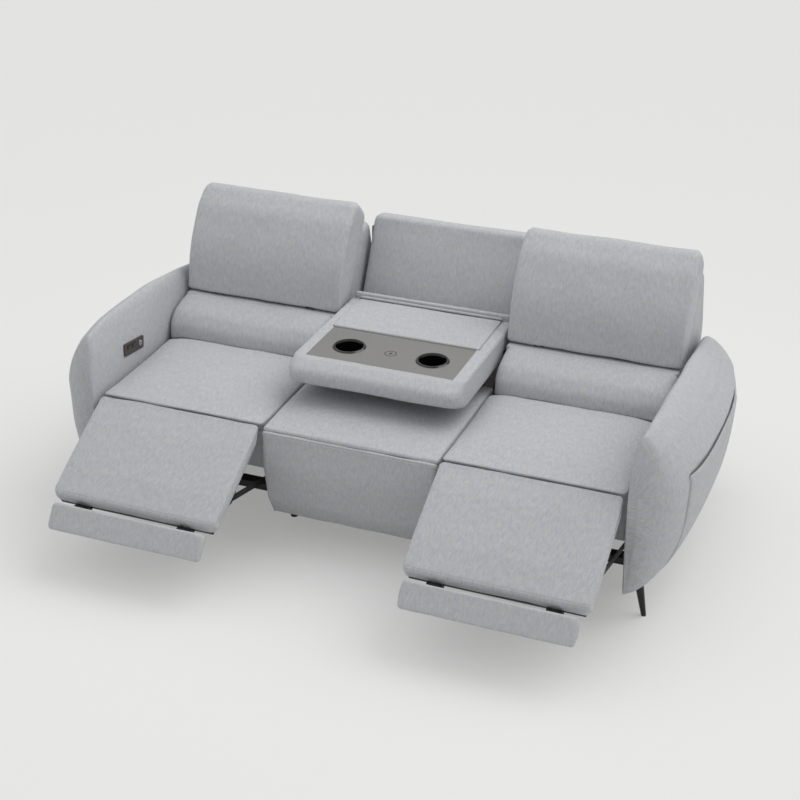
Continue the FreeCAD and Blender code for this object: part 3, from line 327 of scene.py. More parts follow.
class Tree:
    """Short way to add and join shader nodes."""

    def __init__(self, name):
        self.material = bpy.data.materials.new(name)
        self.material.use_nodes = True
        self.nodes = self.material.node_tree.nodes
        self.links = self.material.node_tree.links
        self.nodes.clear()
        self.shader = self.nodes.new("ShaderNodeBsdfPrincipled")
        output = self.nodes.new("ShaderNodeOutputMaterial")
        self.links.new(self.shader.outputs[0], output.inputs[0])

    def add(self, kind, inputs=(), **settings):
        node = self.nodes.new("ShaderNode" + kind)
        for key, value in settings.items():
            setattr(node, key, value)
        for key, value in dict(inputs).items():
            if isinstance(value, bpy.types.NodeSocket):
                self.links.new(value, node.inputs[key])
            else:
                node.inputs[key].default_value = value
        return node

    def noise(self, vector, scale, detail=2.0, rough=0.5):
        return self.add("TexNoise", {"Vector": vector, "Scale": scale, "Detail": detail,
                                     "Roughness": rough}).outputs["Fac"]

    def mix(self, share, a, b, blend="MIX"):
        node = self.add("Mix", data_type="RGBA", blend_type=blend)
        for key, value in ((0, share), (6, a), (7, b)):
            if isinstance(value, bpy.types.NodeSocket):
                self.links.new(value, node.inputs[key])
            else:
                node.inputs[key].default_value = value
        return node.outputs[2]

    def band(self, value, low, high, out_low=0.0, out_high=1.0):
        return self.add("MapRange", {"Value": value, "From Min": low, "From Max": high,
                                     "To Min": out_low, "To Max": out_high}).outputs["Result"]

    def sum(self, a, b, operation="ADD"):
        return self.add("Math", {0: a, 1: b}, operation=operation).outputs[0]

    def set(self, **values):
        for key, value in values.items():
            socket = self.shader.inputs[key.replace("_", " ")]
            if isinstance(value, bpy.types.NodeSocket):
                self.links.new(value, socket)
            else:
                socket.default_value = value

    def bump(self, height, distance, strength=1.0):
        node = self.add("Bump", {"Height": height, "Distance": distance, "Strength": strength})
        self.links.new(node.outputs[0], self.shader.inputs["Normal"])


def fabric(name, colour, light=1.0):
    """Melange twill: light and dark yarns, fine diagonal ribs and faint blue and beige flecks."""
    tree = Tree(name)
    cloth = tree.add("UVMap", uv_map="cloth").outputs[0]
    yarn = tree.noise(cloth, 620.0, 3.0, 0.6)
    slub = tree.add("Mapping", {"Vector": cloth, "Scale": (1.0, 0.28, 1.0), "Rotation": (0, 0, 0.5)}).outputs[0]
    fleck = tree.noise(slub, 330.0, 2.0, 0.65)
    patch = tree.noise(cloth, 46.0, 3.0, 0.6)
    hue = tree.noise(cloth, 95.0, 4.0, 0.7)
    # light below 1 darkens the whole cloth: painted shade, used for a shaded copy of the same fabric
    base = srgb(*[min(v * light, 255) for v in colour])
    dark = srgb(*[v * light * 0.68 for v in colour])
    pale = srgb(*[min(v * light * 1.2, 255) for v in colour])
    slubs = tree.noise(slub, 170.0, 3.0, 0.7)
    mixed = tree.mix(tree.band(yarn, 0.36, 0.64), dark, pale)
    mixed = tree.mix(tree.band(fleck, 0.42, 0.6, 0.0, 0.4), mixed, base)
    mixed = tree.mix(tree.band(slubs, 0.36, 0.64, 0.0, 0.55), mixed, pale)
    cool = srgb(colour[0] * 0.9, colour[1] * 0.965, colour[2] * 1.05)
    warm = srgb(colour[0] * 1.03, colour[1] * 0.985, colour[2] * 0.92)
    tint = tree.mix(tree.band(hue, 0.4, 0.6), cool, warm)
    mixed = tree.mix(0.42, mixed, tint)
    shade = tree.mix(tree.band(patch, 0.32, 0.68), (0.93, 0.93, 0.935, 1), (1.0, 1.0, 1.0, 1))
    mixed = tree.mix(1.0, mixed, shade, "MULTIPLY")
    turned = tree.add("Mapping", {"Vector": cloth, "Rotation": (0, 0, 0.72)}).outputs[0]
    rib = tree.add("TexWave", {"Vector": turned, "Scale": 100.0, "Distortion": 1.4, "Detail": 1.0,
                               "Detail Scale": 3.0}).outputs["Fac"]
    weft = tree.add("TexWave", {"Vector": cloth, "Scale": 160.0, "Distortion": 0.8, "Detail": 1.0},
                    bands_direction="Y").outputs["Fac"]
    height = tree.sum(tree.sum(rib, weft, "MULTIPLY"), yarn)
    tree.bump(height, 0.00035, 0.75)
    tree.set(Base_Color=mixed, Roughness=tree.band(yarn, 0.3, 0.7, 0.86, 0.97))
    tree.set(Specular_IOR_Level=0.18, Sheen_Weight=0.12, Sheen_Roughness=0.55)
    return tree.material


def thread_material(name, colour):
    """Twisted sewing thread."""
    tree = Tree(name)
    place = tree.add("TexCoord").outputs["Object"]
    twist = tree.add("TexWave", {"Vector": place, "Scale": 420.0, "Distortion": 2.0}).outputs["Fac"]
    tree.set(Base_Color=tree.mix(twist, srgb(*[v * 0.9 for v in colour]), srgb(*colour)), Roughness=0.7)
    tree.set(Specular_IOR_Level=0.3)
    tree.bump(twist, 0.0002)
    return tree.material


def hard(name, colour, roughness, metallic=0.0, grain=900.0, depth=0.00006, stretch=(1, 1, 1), spread=0.06,
         coat=0.0, vary=0.08):
    """Painted, moulded or bare hard surface with its own fine grain and uneven gloss."""
    tree = Tree(name)
    place = tree.add("TexCoord").outputs["Object"]
    place = tree.add("Mapping", {"Vector": place, "Scale": stretch}).outputs[0]
    fine = tree.noise(place, grain, 3.0, 0.6)
    broad = tree.noise(place, 14.0, 3.0, 0.55)
    low = srgb(*[v * (1 - vary) for v in colour])
    high = srgb(*[min(v * (1 + vary), 255) for v in colour])
    tree.set(Base_Color=tree.mix(tree.sum(tree.sum(fine, broad), 0.5, "MULTIPLY"), low, high))
    gloss = tree.sum(tree.sum(fine, broad), 0.5, "MULTIPLY")
    tree.set(Roughness=tree.band(gloss, 0.3, 0.7, roughness - spread, roughness + spread))
    tree.set(Metallic=metallic, Coat_Weight=coat, Coat_Roughness=0.06)
    tree.bump(fine, depth)
    return tree.material


def timber(name):
    """Planed softwood with its grain along x."""
    tree = Tree(name)
    place = tree.add("TexCoord").outputs["Object"]
    long = tree.add("Mapping", {"Vector": place, "Scale": (0.12, 1.0, 1.0)}).outputs[0]
    ring = tree.add("TexWave", {"Vector": long, "Scale": 26.0, "Distortion": 5.0, "Detail": 3.0},
                    bands_direction="Z").outputs["Fac"]
    pore = tree.noise(long, 480.0, 2.0)
    tree.set(Base_Color=tree.mix(tree.sum(ring, tree.band(pore, 0.3, 0.7, 0.0, 0.3)), srgb(206, 178, 136),
                                 srgb(176, 140, 96)), Roughness=0.62)
    tree.bump(pore, 0.0002)
    return tree.material


def webbing(name):
    """Black elastic strap, woven in close ribs."""
    tree = Tree(name)
    place = tree.add("TexCoord").outputs["Object"]
    along = tree.add("TexWave", {"Vector": place, "Scale": 260.0}, bands_direction="Y").outputs["Fac"]
    across = tree.add("TexWave", {"Vector": place, "Scale": 150.0}, bands_direction="X").outputs["Fac"]
    weave = tree.sum(along, across, "MULTIPLY")
    tree.set(Base_Color=tree.mix(weave, srgb(26, 26, 28), srgb(58, 58, 60)), Roughness=0.85)
    tree.bump(weave, 0.0006)
    return tree.material


FABRIC = (187, 188, 190)
materials = {
    "upholstery": fabric("melange_twill", FABRIC),
    # painted shade: the same fabric made 5% darker, for pieces that sit in shade
    "upholstery_shaded": fabric("melange_twill_painted_shade", FABRIC, 0.95),
    "thread": thread_material("topstitch_thread", (228, 229, 231)),
    "tab": hard("seam_tab_leather", (120, 62, 44), 0.6, grain=700.0, depth=0.0003),
    "console_plate": hard("brushed_console_plate", (146, 145, 142), 0.42, 0.35, 260.0, 0.00003, (0.04, 9, 1), 0.07),
    "cup_holder": hard("gloss_cup_holder", (14, 14, 16), 0.16, grain=240.0, depth=0.00001, coat=0.5),
    "charging_coil": hard("coil_potting", (60, 50, 44), 0.55),
    "bin": hard("grained_bin", (30, 30, 32), 0.6, grain=1300.0, depth=0.0001),
    "switch_bezel": hard("bronze_bezel", (96, 89, 84), 0.34, 0.7, 800.0, 0.00003),
    "switch_key": hard("switch_key_plastic", (30, 30, 33), 0.28, grain=1100.0, depth=0.00003, coat=0.3),
    "switch_round": hard("bright_round_switch", (168, 168, 172), 0.2, 0.95, 500.0, 0.00001),
    "mechanism": hard("black_powder_coat", (30, 30, 32), 0.5, 0.2, 1500.0, 0.00012),
    "actuator": hard("actuator_housing", (27, 27, 29), 0.55, grain=1300.0, depth=0.0001),
    "frame_tube": hard("frame_powder_coat", (28, 28, 30), 0.52, 0.2, 1500.0, 0.00012),
    "seat_timber": timber("planed_pine"),
    "webbing": webbing("elastic_webbing"),
    "leg": hard("satin_black_leg", (20, 20, 22), 0.36, 0.3, 900.0, 0.00003),
    "foot": hard("moulded_foot", (22, 22, 24), 0.6, grain=1200.0, depth=0.0001),
    "hinge": hard("zinc_hinge", (128, 128, 132), 0.38, 0.9, 600.0, 0.00004),
    "dark": hard("dark_backing", (20, 20, 22), 0.8, grain=900.0, depth=0.0002),
}
SLOTS = {name: name for name in materials}
SLOTS["thread"] = "upholstery"
SLOTS["dark"] = "switch_key"

for part in frame["record"]["subparts"]:
    node = frame["nodes"][part["node"]]
    node.data.materials.clear()
    node.data.materials.append(materials[part["material_slot"]])


# Side views of the cushions: corners as depth, height and rounding, in millimetres

SEAM = (-560.0, 426.0)
FOOT_SLOPE = math.radians(29.3)
FLAP_SLOPE = math.radians(29.3 + 26.0)
PAD_LENGTH = 375.6
SEAT_X = (293.0, 848.0)
PAD_X = (294.5, 846.5)
FLAP_X = (311.0, 826.0)
LUMBAR_X = (300.0, 860.0)
HEAD_X = (293.0, 861.0)
SHELL_X = (297.0, 858.0)
MIDDLE_HALF = 284.0


def turned(end, radius):
    """How far a rounded corner of a cushion's plan draws its edge in, near one end."""
    return radius - math.sqrt(max(radius ** 2 - max(radius - end, 0.0) ** 2, 0.0))


def foot(along, above):
    y = SEAM[0] - along * math.cos(FOOT_SLOPE) - above * math.sin(FOOT_SLOPE)
    z = SEAM[1] - along * math.sin(FOOT_SLOPE) + above * math.cos(FOOT_SLOPE)
    return y, z


def flap(along, above):
    y, z = foot(PAD_LENGTH + 29.1, 8.0)
    y += -along * math.cos(FLAP_SLOPE) - above * math.sin(FLAP_SLOPE)
    z += -along * math.sin(FLAP_SLOPE) + above * math.cos(FLAP_SLOPE)
    return y, z


def seat_side(end, crown):
    cut = turned(end, 14.0)
    rise = 13 * crown ** 0.8
    rise -= 15 * max(1 - end / 80, 0) ** 2
    return [(-561.3 + cut, 430 - cut * 0.25, 4), (-455, 436 + rise * 0.8, 150), (-250, 441 + rise, 150),
            (-113, 439 + rise * 0.5, 16), (-113, 386.6, 8), (-519 + cut, 386.6, 6)]


def pad_side(end, crown):
    near = turned(end, 14.0)
    far = turned(end, 22.0)
    rise = 7 * crown ** 0.8
    points = [(-1.0 + near, 4.0, 4), (105, 6 + rise, 140), (275, 6 + rise, 140), (PAD_LENGTH - far, 3, 15),
              (PAD_LENGTH - far, -35.6, 10), (43.0 + near, -35.6, 6)]
    return [foot(a, b) + (r,) for a, b, r in points]


def flap_side(end, crown):
    cut = turned(end, 12.0)
    top = 2.0 * crown
    points = [(cut, top, 8), (82.7 - cut, top, 8), (82.7 - cut, -21.5, 8), (cut, -21.5, 7)]
    return [flap(a, b) + (r,) for a, b, r in points]


def lumbar_side(end, crown):
    cut = turned(end, 34.0)
    front = -112 + cut * 0.6 - 4 * crown
    top = 544 - cut * 0.5
    low = 438 - 12 * max(1 - end / 80, 0) ** 2
    return [(26, 362.5, 8), (-93, 362.5, 14), (-93, low - 14, 6), (front, low, 9), (front + 5, 480, 45),
            (front + 36, 518 - cut * 0.3, 60), (front + 90, top - 6, 80), (26, top, 5)]


def head_side(end, crown):
    cut = turned(end, 24.0)
    front = cut * 0.3 - 5 * crown
    return [(40 + turned(end, 16.0) * 0.6, 546, 9), (70 + front, 692, 380), (147 + front, 824 - cut * 0.3, 120),
            (222, 888 - cut, 42), (288 - cut * 0.2, 822 - cut * 0.7, 22), (141.5, 557, 20)]


def shell_side(end, crown):
    cut = turned(end, 30.0)
    return [(26, 416, 10), (26, 541, 6), (150, 541, 4), (262, 756 - cut * 0.5, 18), (272, 769 - cut * 0.6, 10),
            (348 - cut, 769 - cut * 0.6, 26), (404 - cut + 2 * crown, 560, 200), (391 - cut, 416, 20)]


def middle_top_side(end, crown):
    cut = turned(end, 14.0)
    rise = 9 * crown ** 0.8
    return [(-576 + cut * 0.4, 422, 9), (-440, 427 + rise, 160), (-180, 427 + rise, 160), (-40, 422, 16),
            (-40, 386, 5), (-542, 386, 5)]


def middle_front_side(end, crown):
    cut = turned(end, 14.0)
    front = -574 + cut * 0.6
    bulge = 6 * crown
    return [(front, 419, 5), (front - 4 - bulge, 290, 200), (front + 20, 165, 60), (front + 56, 98, 18),
            (-500, 98, 6), (-500, 383, 3), (-536, 383, 3)]


def middle_back_side(end, crown):
    cut = turned(end, 24.0)
    face = -4 * crown + cut * 0.4
    return [(202, 257, 6), (202, 520, 20), (213 + face, 540, 30), (318 + face, 762 - cut * 0.4, 50),
            (331, 799 - cut, 18), (392 - cut * 0.3, 790 - cut, 26), (408, 560, 200), (388, 257, 6)]


def console_side(end, crown):
    cut = turned(end, 40.0)
    front = -400 + cut
    return [(front + 48, 571, 28), (front, 548, 26), (front + 6, 505, 28), (front + 62, 478, 30),
            (150, 478, 12), (150, 571, 6)]


def lid_side(end, crown):
    rise = 1.0 + 3 * crown
    return [(-101.5, 576, 5), (-40, 577 + rise, 90), (60, 577 + rise, 90), (126, 576, 4), (126, 563.6, 2),
            (-101.5, 563.6, 3)]


def strip_side(end, crown):
    return [(135.5, 570, 1), (150, 570, 1), (150, 594, 6), (135.5, 592, 5)]


def welt_side(end, crown):
    return [(126, 575.5, 4), (135, 575.5, 4), (135, 584.5, 4), (126, 584.5, 4)]


def fascia_side(end, crown):
    return [(-506, 240, 5), (-491, 240, 5), (-491, 383, 2), (-506, 383, 2)]


def panel_side(end, crown):
    return [(392.5, 89.5, 3), (404, 89.5, 4), (404, 297.5, 4), (392.5, 297.5, 3)]


def mirrored(x0, x1, side):
    return (x0, x1) if side > 0 else (-x1, -x0)


def edge_row(grid, normals, y, z, trim=2):
    """Points and normals of a skin along the row nearest to a side-view point."""
    column = nearest_column(grid, y, z)
    return grid[trim:-trim or None, column], normals[trim:-trim or None, column]


for side, word in ((1, "right"), (-1, "left")):
    seed = 10 if side > 0 else 30
    skin(word + "_seat_cover", word + "_seat_cushion", "frame", *mirrored(*SEAT_X, side), seat_side, 7,
         2.2, seed + 1)
    pad = skin(word + "_footrest_cover", word + "_footrest_pad", word + "_footrest", *mirrored(*PAD_X, side),
               pad_side, 7, 1.3, seed + 2)
    skin(word + "_flap_cover", word + "_flap_pad", word + "_flap", *mirrored(*FLAP_X, side), flap_side, 8,
         0.7, seed + 3)
    skin(word + "_lumbar_cover", word + "_lumbar_cushion", word + "_back", *mirrored(*LUMBAR_X, side),
         lumbar_side, 14, 2.4, seed + 4, 1.8)
    skin(word + "_headrest_cover", word + "_headrest_pad", word + "_headrest", *mirrored(*HEAD_X, side),
         head_side, 8, 1.8, seed + 5, 1.6)
    skin(word + "_shell_cover", word + "_back_shell", word + "_back", *mirrored(*SHELL_X, side),
         shell_side, 10, 1.2, seed + 6)
    path, up = edge_row(pad[1], pad[2], *foot(9, 4), trim=1)
    stitches(word + "_footrest_seam_stitch", word + "_footrest", path, up, (0.0, ROW_GAP), (0, -1, 0))
    path, up = edge_row(pad[1], pad[2], *foot(PAD_LENGTH - 9, 4), trim=1)
    stitches(word + "_footrest_end_stitch", word + "_footrest", path, up, (0.0, ROW_GAP), (0, 1, 0))
    # the seat fascias use the 5% darker copy of the fabric: painted shade
    skin(word + "_seat_fascia_cover", "seat_fascias", "frame", *mirrored(300.0, 846.0, side), fascia_side, 4,
         0.5, seed + 7, 0.2, 11.0, "upholstery_shaded", 0)

middle = skin("middle_seat_cover", "middle_seat_cushion", "frame", -MIDDLE_HALF - 1, MIDDLE_HALF + 1,
              middle_top_side, 9, 1.6, 51)
front = skin("middle_seat_front_cover", "middle_seat_front", "frame", -MIDDLE_HALF - 1, MIDDLE_HALF + 1,
             middle_front_side, 9, 1.6, 52)
path, up = edge_row(front[1], front[2], -575, 412)
stitches("middle_front_seam_stitch", "frame", path, up, (0.0, ROW_GAP), (0, 0, -1))
skin("middle_back_cover", "middle_back", "frame", -MIDDLE_HALF, MIDDLE_HALF, middle_back_side, 12, 1.8, 53)
# the lower back panel uses the 5% darker copy of the fabric: painted shade
skin("lower_back_cover", "lower_back_panel", "frame", -857.0, 857.0, panel_side, 3, 0.4, 54, 0.1, 12.0,
     "upholstery_shaded", 0)


# Arms

ARM_INNER_X = 862.0
ARM_FRONT_Y = -592.0
ARM_SWELL = 177.06
ARM_WIDEST_Z = 443.5
ARM_BOTTOM_Z = 115.0
ARM_CREST = 0.23
REAR_DROP, REAR_DROP_Y = 30.0, 225.0
POCKET_Y = (-458.0, 138.0)
POCKET_Z = (128.0, 470.0)


def nose(y, start, power, least):
    reach = np.clip((start - y) / (start - ARM_FRONT_Y), 0, 1)
    return least + (1 - least) * (1 - reach ** power) ** (1 / power)


def arm_crest(y):
    """Height of an arm along its length, through its three measured heights."""
    front, middle, rear = 628.21, 613.94, 548.41
    a, b = (front - middle) / -400.0, (rear - middle) / 380.0
    curve = (a - b) / -780.0
    return middle + (a + curve * 400.0) * y + curve * y * y


def signed_power(value, power):
    return np.sign(value) * np.abs(value) ** (2 / power)


def arm_surface(y, angle):
    """Right arm: points for depths and angles round its cross-section, counted from its widest side upward."""
    widest = -43.56
    rear = 1 - 0.35 * (np.clip(y - widest, 0, None) / (ARM_REAR_Y - widest)) ** 1.86
    swell = ARM_SWELL * np.where(y <= widest, nose(y, widest, 3.18, 0.0), rear)
    rear_fall = REAR_DROP * np.clip((y - REAR_DROP_Y) / (ARM_REAR_Y - REAR_DROP_Y), 0, 1) ** 2.2
    rise = (arm_crest(y) - rear_fall - ARM_WIDEST_Z) * nose(y, -549.6, 1.53, 0.02)
    drop = (ARM_WIDEST_Z - ARM_BOTTOM_Z) * nose(y, ARM_FRONT_Y + 130, 2.0, 0.99)
    c, s = np.cos(angle), np.sin(angle)
    power = np.where(c < 0, 2.0, np.where(s >= 0, 1.43, 2.15))
    c, s = signed_power(c, power), signed_power(s, power)
    x = ARM_INNER_X + swell * (ARM_CREST + np.where(c >= 0, 1 - ARM_CREST, ARM_CREST) * c)
    z = ARM_WIDEST_Z + np.where(s >= 0, rise, drop) * s
    return np.stack([x, np.broadcast_to(y, x.shape), z], -1)


def even_angles(count):
    """Angles that lie evenly along the arm's widest cross-section."""
    fine = np.linspace(-math.pi / 2, 3 * math.pi / 2, 6001)
    section = arm_surface(np.full(fine.shape, -200.0), fine)
    length = np.concatenate([[0], np.cumsum(np.linalg.norm(np.diff(section, axis=0), axis=1))])
    even = np.linspace(0, length[-1], count, endpoint=False)
    return np.interp(even, length, fine), even


def grid_normals(grid, outward_from):
    """Unit normals of a grid of rings, pointing away from each ring's middle."""
    along = np.gradient(grid, axis=0)
    around = np.roll(grid, -1, 1) - np.roll(grid, 1, 1)
    normal = np.cross(along, around)
    normal /= np.maximum(np.linalg.norm(normal, axis=2), 1e-9)[:, :, None]
    middle = grid.mean(1, keepdims=True) + np.array(outward_from, float)
    sign = np.sign(np.sum(normal * (grid - middle), axis=2).sum())
    return normal * sign


def smooth_step(value, low, high):
    t = np.clip((value - low) / (high - low), 0, 1)
    return t * t * (3 - 2 * t)


def make_arm(side, word, seed):
    """Arm cover with its soft folds, drawn in under the mouth of its side pocket."""
    reach = [-591.4, -590, -587.5, -584, -579, -573, -566, -558, -549] + list(np.arange(-539, 330, 9.0))
    reach += [334, 338, 341, 342.6]
    reach = np.array(reach)
    angles, around = even_angles(150)
    grid = arm_surface(reach[:, None], angles[None, :])
    normals = grid_normals(grid, (0, 0, 0))
    flat = grid.reshape(-1, 3) * np.array([side, 1, 1])
    rear = np.clip((reach - 331.0) / 12.0, 0, 1)
    inset = 12 * (1 - np.sqrt(1 - rear ** 2 * 0.999))
    swell = (waves(flat, 230.0, seed) * 3.0 + waves(flat, 80.0, seed + 1) * 0.8).reshape(grid.shape[:2])
    inner = smooth_step(grid[:, :, 0], ARM_INNER_X + 2, ARM_INNER_X + 18)
    height = grid[:, :, 2]
    depth = grid[:, :, 1]
    inside = smooth_step(depth, POCKET_Y[0] - 4, POCKET_Y[0] + 8) \
        * (1 - smooth_step(depth, POCKET_Y[1] - 8, POCKET_Y[1]))
    below = 1 - smooth_step(height, POCKET_Z[1] - 2, POCKET_Z[1] + 5)
    outer_side = smooth_step(grid[:, :, 0], ARM_INNER_X + 60, ARM_INNER_X + 80)
    hollow = inside * below * smooth_step(height, POCKET_Z[0] - 10, POCKET_Z[0] + 10) * outer_side
    gather = np.sin(depth / 7.5 + 2 * np.sin(height / 37.0 + seed)) * np.exp(-((height - 545) / 34.0) ** 2) \
        * smooth_step(-depth, 380, 520) * outer_side * 0.8
    grid = grid + normals * ((swell * inner + gather) - 7.0 * hollow - inset[:, None])[:, :, None]
    grid[:, :, 0] = np.maximum(grid[:, :, 0], ARM_INNER_X + 0.2)
    shown = grid * np.array([side, 1, 1])
    obj = grid_object(word + "_arm_cover", shown, around, reach)
    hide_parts(word + "_arm")
    finish_piece(obj, "frame", "upholstery")
    return grid, normals


def arm_place(y, z_low, z_high=None, lift=0.0, count=None):
    """Points and normals on the outer side of the right arm at one depth and several heights."""
    heights = np.linspace(z_low, z_high, count)
    fine = np.linspace(-math.pi / 2 + 1e-4, math.pi / 2 - 1e-4, 1601)
    curve = arm_surface(np.full(fine.shape, y), fine)
    angle = np.interp(heights, curve[:, 2], fine)
    point = arm_surface(np.full(angle.shape, y), angle)
    step = 1e-3
    up = arm_surface(np.full(angle.shape, y), angle + step) - arm_surface(np.full(angle.shape, y), angle - step)
    along = arm_surface(np.full(angle.shape, y + 1.0), angle) - arm_surface(np.full(angle.shape, y - 1.0), angle)
    normal = np.cross(along, up)
    normal /= np.linalg.norm(normal, axis=1)[:, None]
    normal *= np.sign(normal[:, 0].sum())
    return point + normal * lift, normal


def make_pocket(side, word, seed):
    """Side pocket: a cloth panel sewn down on three sides whose top edge hangs a little open."""
    depths = np.concatenate([[POCKET_Y[0]], np.arange(POCKET_Y[0] + 4, POCKET_Y[1] - 4, 8.0), [POCKET_Y[1]]])
    count = 44
    front = []
    back = []
    for y in depths:
        edge = min(y - POCKET_Y[0], POCKET_Y[1] - y)
        base, normal = arm_place(y, POCKET_Z[0], POCKET_Z[1] - 3.0 * min(edge / 120.0, 1.0), 0.0, count)
        share = np.linspace(0, 1, count)
        gape = smooth_step(share, 0.8, 1.0) * 3.2 * min(edge / 50.0, 1.0)
        sewn = np.minimum(np.minimum(share * 60, 1.0), min(edge / 6.0, 1.0) * 0.8 + 0.2)
        flat = base * np.array([side, 1, 1])
        wave = waves(flat, 150.0, seed) * 0.7 * min(edge / 40.0, 1.0)
        top = (1.2 + gape + wave) * sewn + 0.3
        front.append(base + normal * top[:, None])
        back.append(base + normal * (top - 3.0)[:, None])
    rings = np.concatenate([np.array(front), np.array(back)[:, ::-1]], axis=1)
    ring = rings[len(rings) // 2]
    length = np.concatenate([[0], np.cumsum(np.linalg.norm(np.diff(ring, axis=0), axis=1))])
    shown = rings * np.array([side, 1, 1])
    obj = grid_object(word + "_arm_pocket_cover", shown, length, depths)
    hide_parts("arm_pockets")
    finish_piece(obj, "frame", "upholstery")
    front = np.array(front)
    normal = np.cross(np.gradient(front, axis=0), np.gradient(front, axis=1))
    normal /= np.linalg.norm(normal, axis=2)[:, :, None]
    normal *= np.sign(normal[:, :, 0].sum())
    flip = np.array([side, 1, 1])
    paths = [(front[2:-2, -3], normal[2:-2, -3]), (front[1, 2:-2], normal[1, 2:-2]),
             (front[-2, 2:-2], normal[-2, 2:-2])]
    for i, (path, up) in enumerate(paths):
        stitches(f"{word}_arm_pocket_stitch_{i}", "frame", path * flip, up * flip, (0.0,))


def make_arm_seam(side, word):
    """Double topstitching from the crest of the arm down over its nose."""
    seam = [(968, 158, 542), (984, 1, 551), (983, -206, 562), (969, -395, 567), (939, -539, 563),
            (922, -572, 529), (893, -587, 490), (883, -590, 471)]
    seam = np.array(seam, float)
    length = np.concatenate([[0], np.cumsum(np.linalg.norm(np.diff(seam, axis=0), axis=1))])
    fine = np.linspace(0, length[-1], 220)
    line = np.stack([smooth_curve(length, seam[:, c], fine) for c in range(3)], 1)
    grid, normals = arms[word]
    points = grid.reshape(-1, 3)
    flat_normals = normals.reshape(-1, 3)
    found = []
    ups = []
    for place in line:
        distance = np.linalg.norm(points - place, axis=1)
        near = np.argsort(distance)[:4]
        weight = 1 / (distance[near] + 0.5)
        normal = (flat_normals[near] * weight[:, None]).sum(0) / weight.sum()
        normal /= np.linalg.norm(normal)
        on = (points[near] * weight[:, None]).sum(0) / weight.sum()
        found.append(place - normal * ((place - on) @ normal))
        ups.append(normal)
    flip = np.array([side, 1, 1])
    stitches(word + "_arm_seam_stitch", "frame", np.array(found) * flip, np.array(ups) * flip,
             (-ROW_GAP / 2, ROW_GAP / 2))


def smooth_curve(knots, values, places):
    """Cubic curve through given values, with level-headed slopes."""
    slope = np.gradient(values, knots)
    index = np.clip(np.searchsorted(knots, places) - 1, 0, len(knots) - 2)
    span = knots[index + 1] - knots[index]
    t = (places - knots[index]) / span
    a, b = values[index], values[index + 1]
    return ((2 * t ** 3 - 3 * t ** 2 + 1) * a + (t ** 3 - 2 * t ** 2 + t) * span * slope[index]
            + (3 * t ** 2 - 2 * t ** 3) * b + (t ** 3 - t ** 2) * span * slope[index + 1])


arms = {}
for side, word in ((1, "right"), (-1, "left")):
    arms[word] = make_arm(side, word, 70 + 5 * side)
    make_pocket(side, word, 90 + 5 * side)
    make_arm_seam(side, word)


# Console

CONSOLE_HALF = 285.0
PLATE_HALF = 243.0
PLATE_Y = (-328.0, -103.0)
PLATE_TOP = 569.5
CUP_X = 140.0
CUP_Y = -223.0


def tool_box(x0, x1, y0, y1, z0, z1):
    """Square cutter, kept out of the picture."""
    corners = [at(x, y, z) for x in (x0, x1) for y in (y0, y1) for z in (z0, z1)]
    faces = [(0, 1, 3, 2), (4, 6, 7, 5), (0, 4, 5, 1), (2, 3, 7, 6), (0, 2, 6, 4), (1, 5, 7, 3)]
    return mesh_object("cutter", corners, faces, False)


def tool_drum(x, y, radius, z0, z1, sides=72, along="z"):
    """Round cutter, upright or lying along x."""
    points = []
    for level in (z0, z1):
        for k in range(sides):
            a = 2 * math.pi * k / sides
            u, v = radius * math.cos(a), radius * math.sin(a)
            points.append(at(x + u, y + v, level) if along == "z" else at(level, x + u, y + v))
    faces = [tuple(range(sides - 1, -1, -1)), tuple(range(sides, 2 * sides))]
    for k in range(sides):
        faces.append((k, (k + 1) % sides, sides + (k + 1) % sides, sides + k))
    if along != "z":
        faces = [face[::-1] for face in faces]
    if signed_volume(np.array(points), faces) < 0:
        faces = [face[::-1] for face in faces]
    return mesh_object("cutter", points, faces, False)


def cut_away(obj, tools):
    """Cuts each tool out of a piece and removes the tools."""
    for tool in tools:
        step = obj.modifiers.new("cut", "BOOLEAN")
        step.operation = "DIFFERENCE"
        step.solver = "EXACT"
        step.object = tool
    depsgraph = bpy.context.evaluated_depsgraph_get()
    mesh = bpy.data.meshes.new_from_object(obj.evaluated_get(depsgraph))
    obj.modifiers.clear()
    old = obj.data
    obj.data = mesh
    bpy.data.meshes.remove(old)
    for tool in tools:
        bpy.data.objects.remove(tool)
    mesh.name = obj.name


console = skin("console_cover", "console_body", "console", -CONSOLE_HALF, CONSOLE_HALF, console_side, 11, 1.4, 61)
tools = [tool_box(-PLATE_HALF - 0.8, PLATE_HALF + 0.8, PLATE_Y[0] - 0.8, PLATE_Y[1] + 0.8, 566, 600),
         tool_box(-251, 251, PLATE_Y[1], 134.5, 562.5, 600),
         tool_box(-230.5, 230.5, -90.5, 113.5, 489, 580)]
for x in (-CUP_X, CUP_X):
    tools.append(tool_drum(x, CUP_Y, 46.0, 504, 580))
tools.append(tool_drum(0, CUP_Y, 41.0, 557, 580))
for x0, x1 in ((268.0, 300.0), (-300.0, -268.0)):
    tools.append(tool_box(x0, x1, 44, 170, 470, 508))
cut_away(console[0], tools)
skin("console_lid_cover", "console_lid", "lid", -249.0, 249.0, lid_side, 5, 0.9, 62)
skin("lid_rear_welt", "console_lid", "lid", -249.0, 249.0, welt_side, 3, 0.15, 64, 0.1, 2.5)
skin("console_rear_strip", "console_body", "console", -271.0, 271.0, strip_side, 5, 0.4, 63)


# Charging mark on the plate


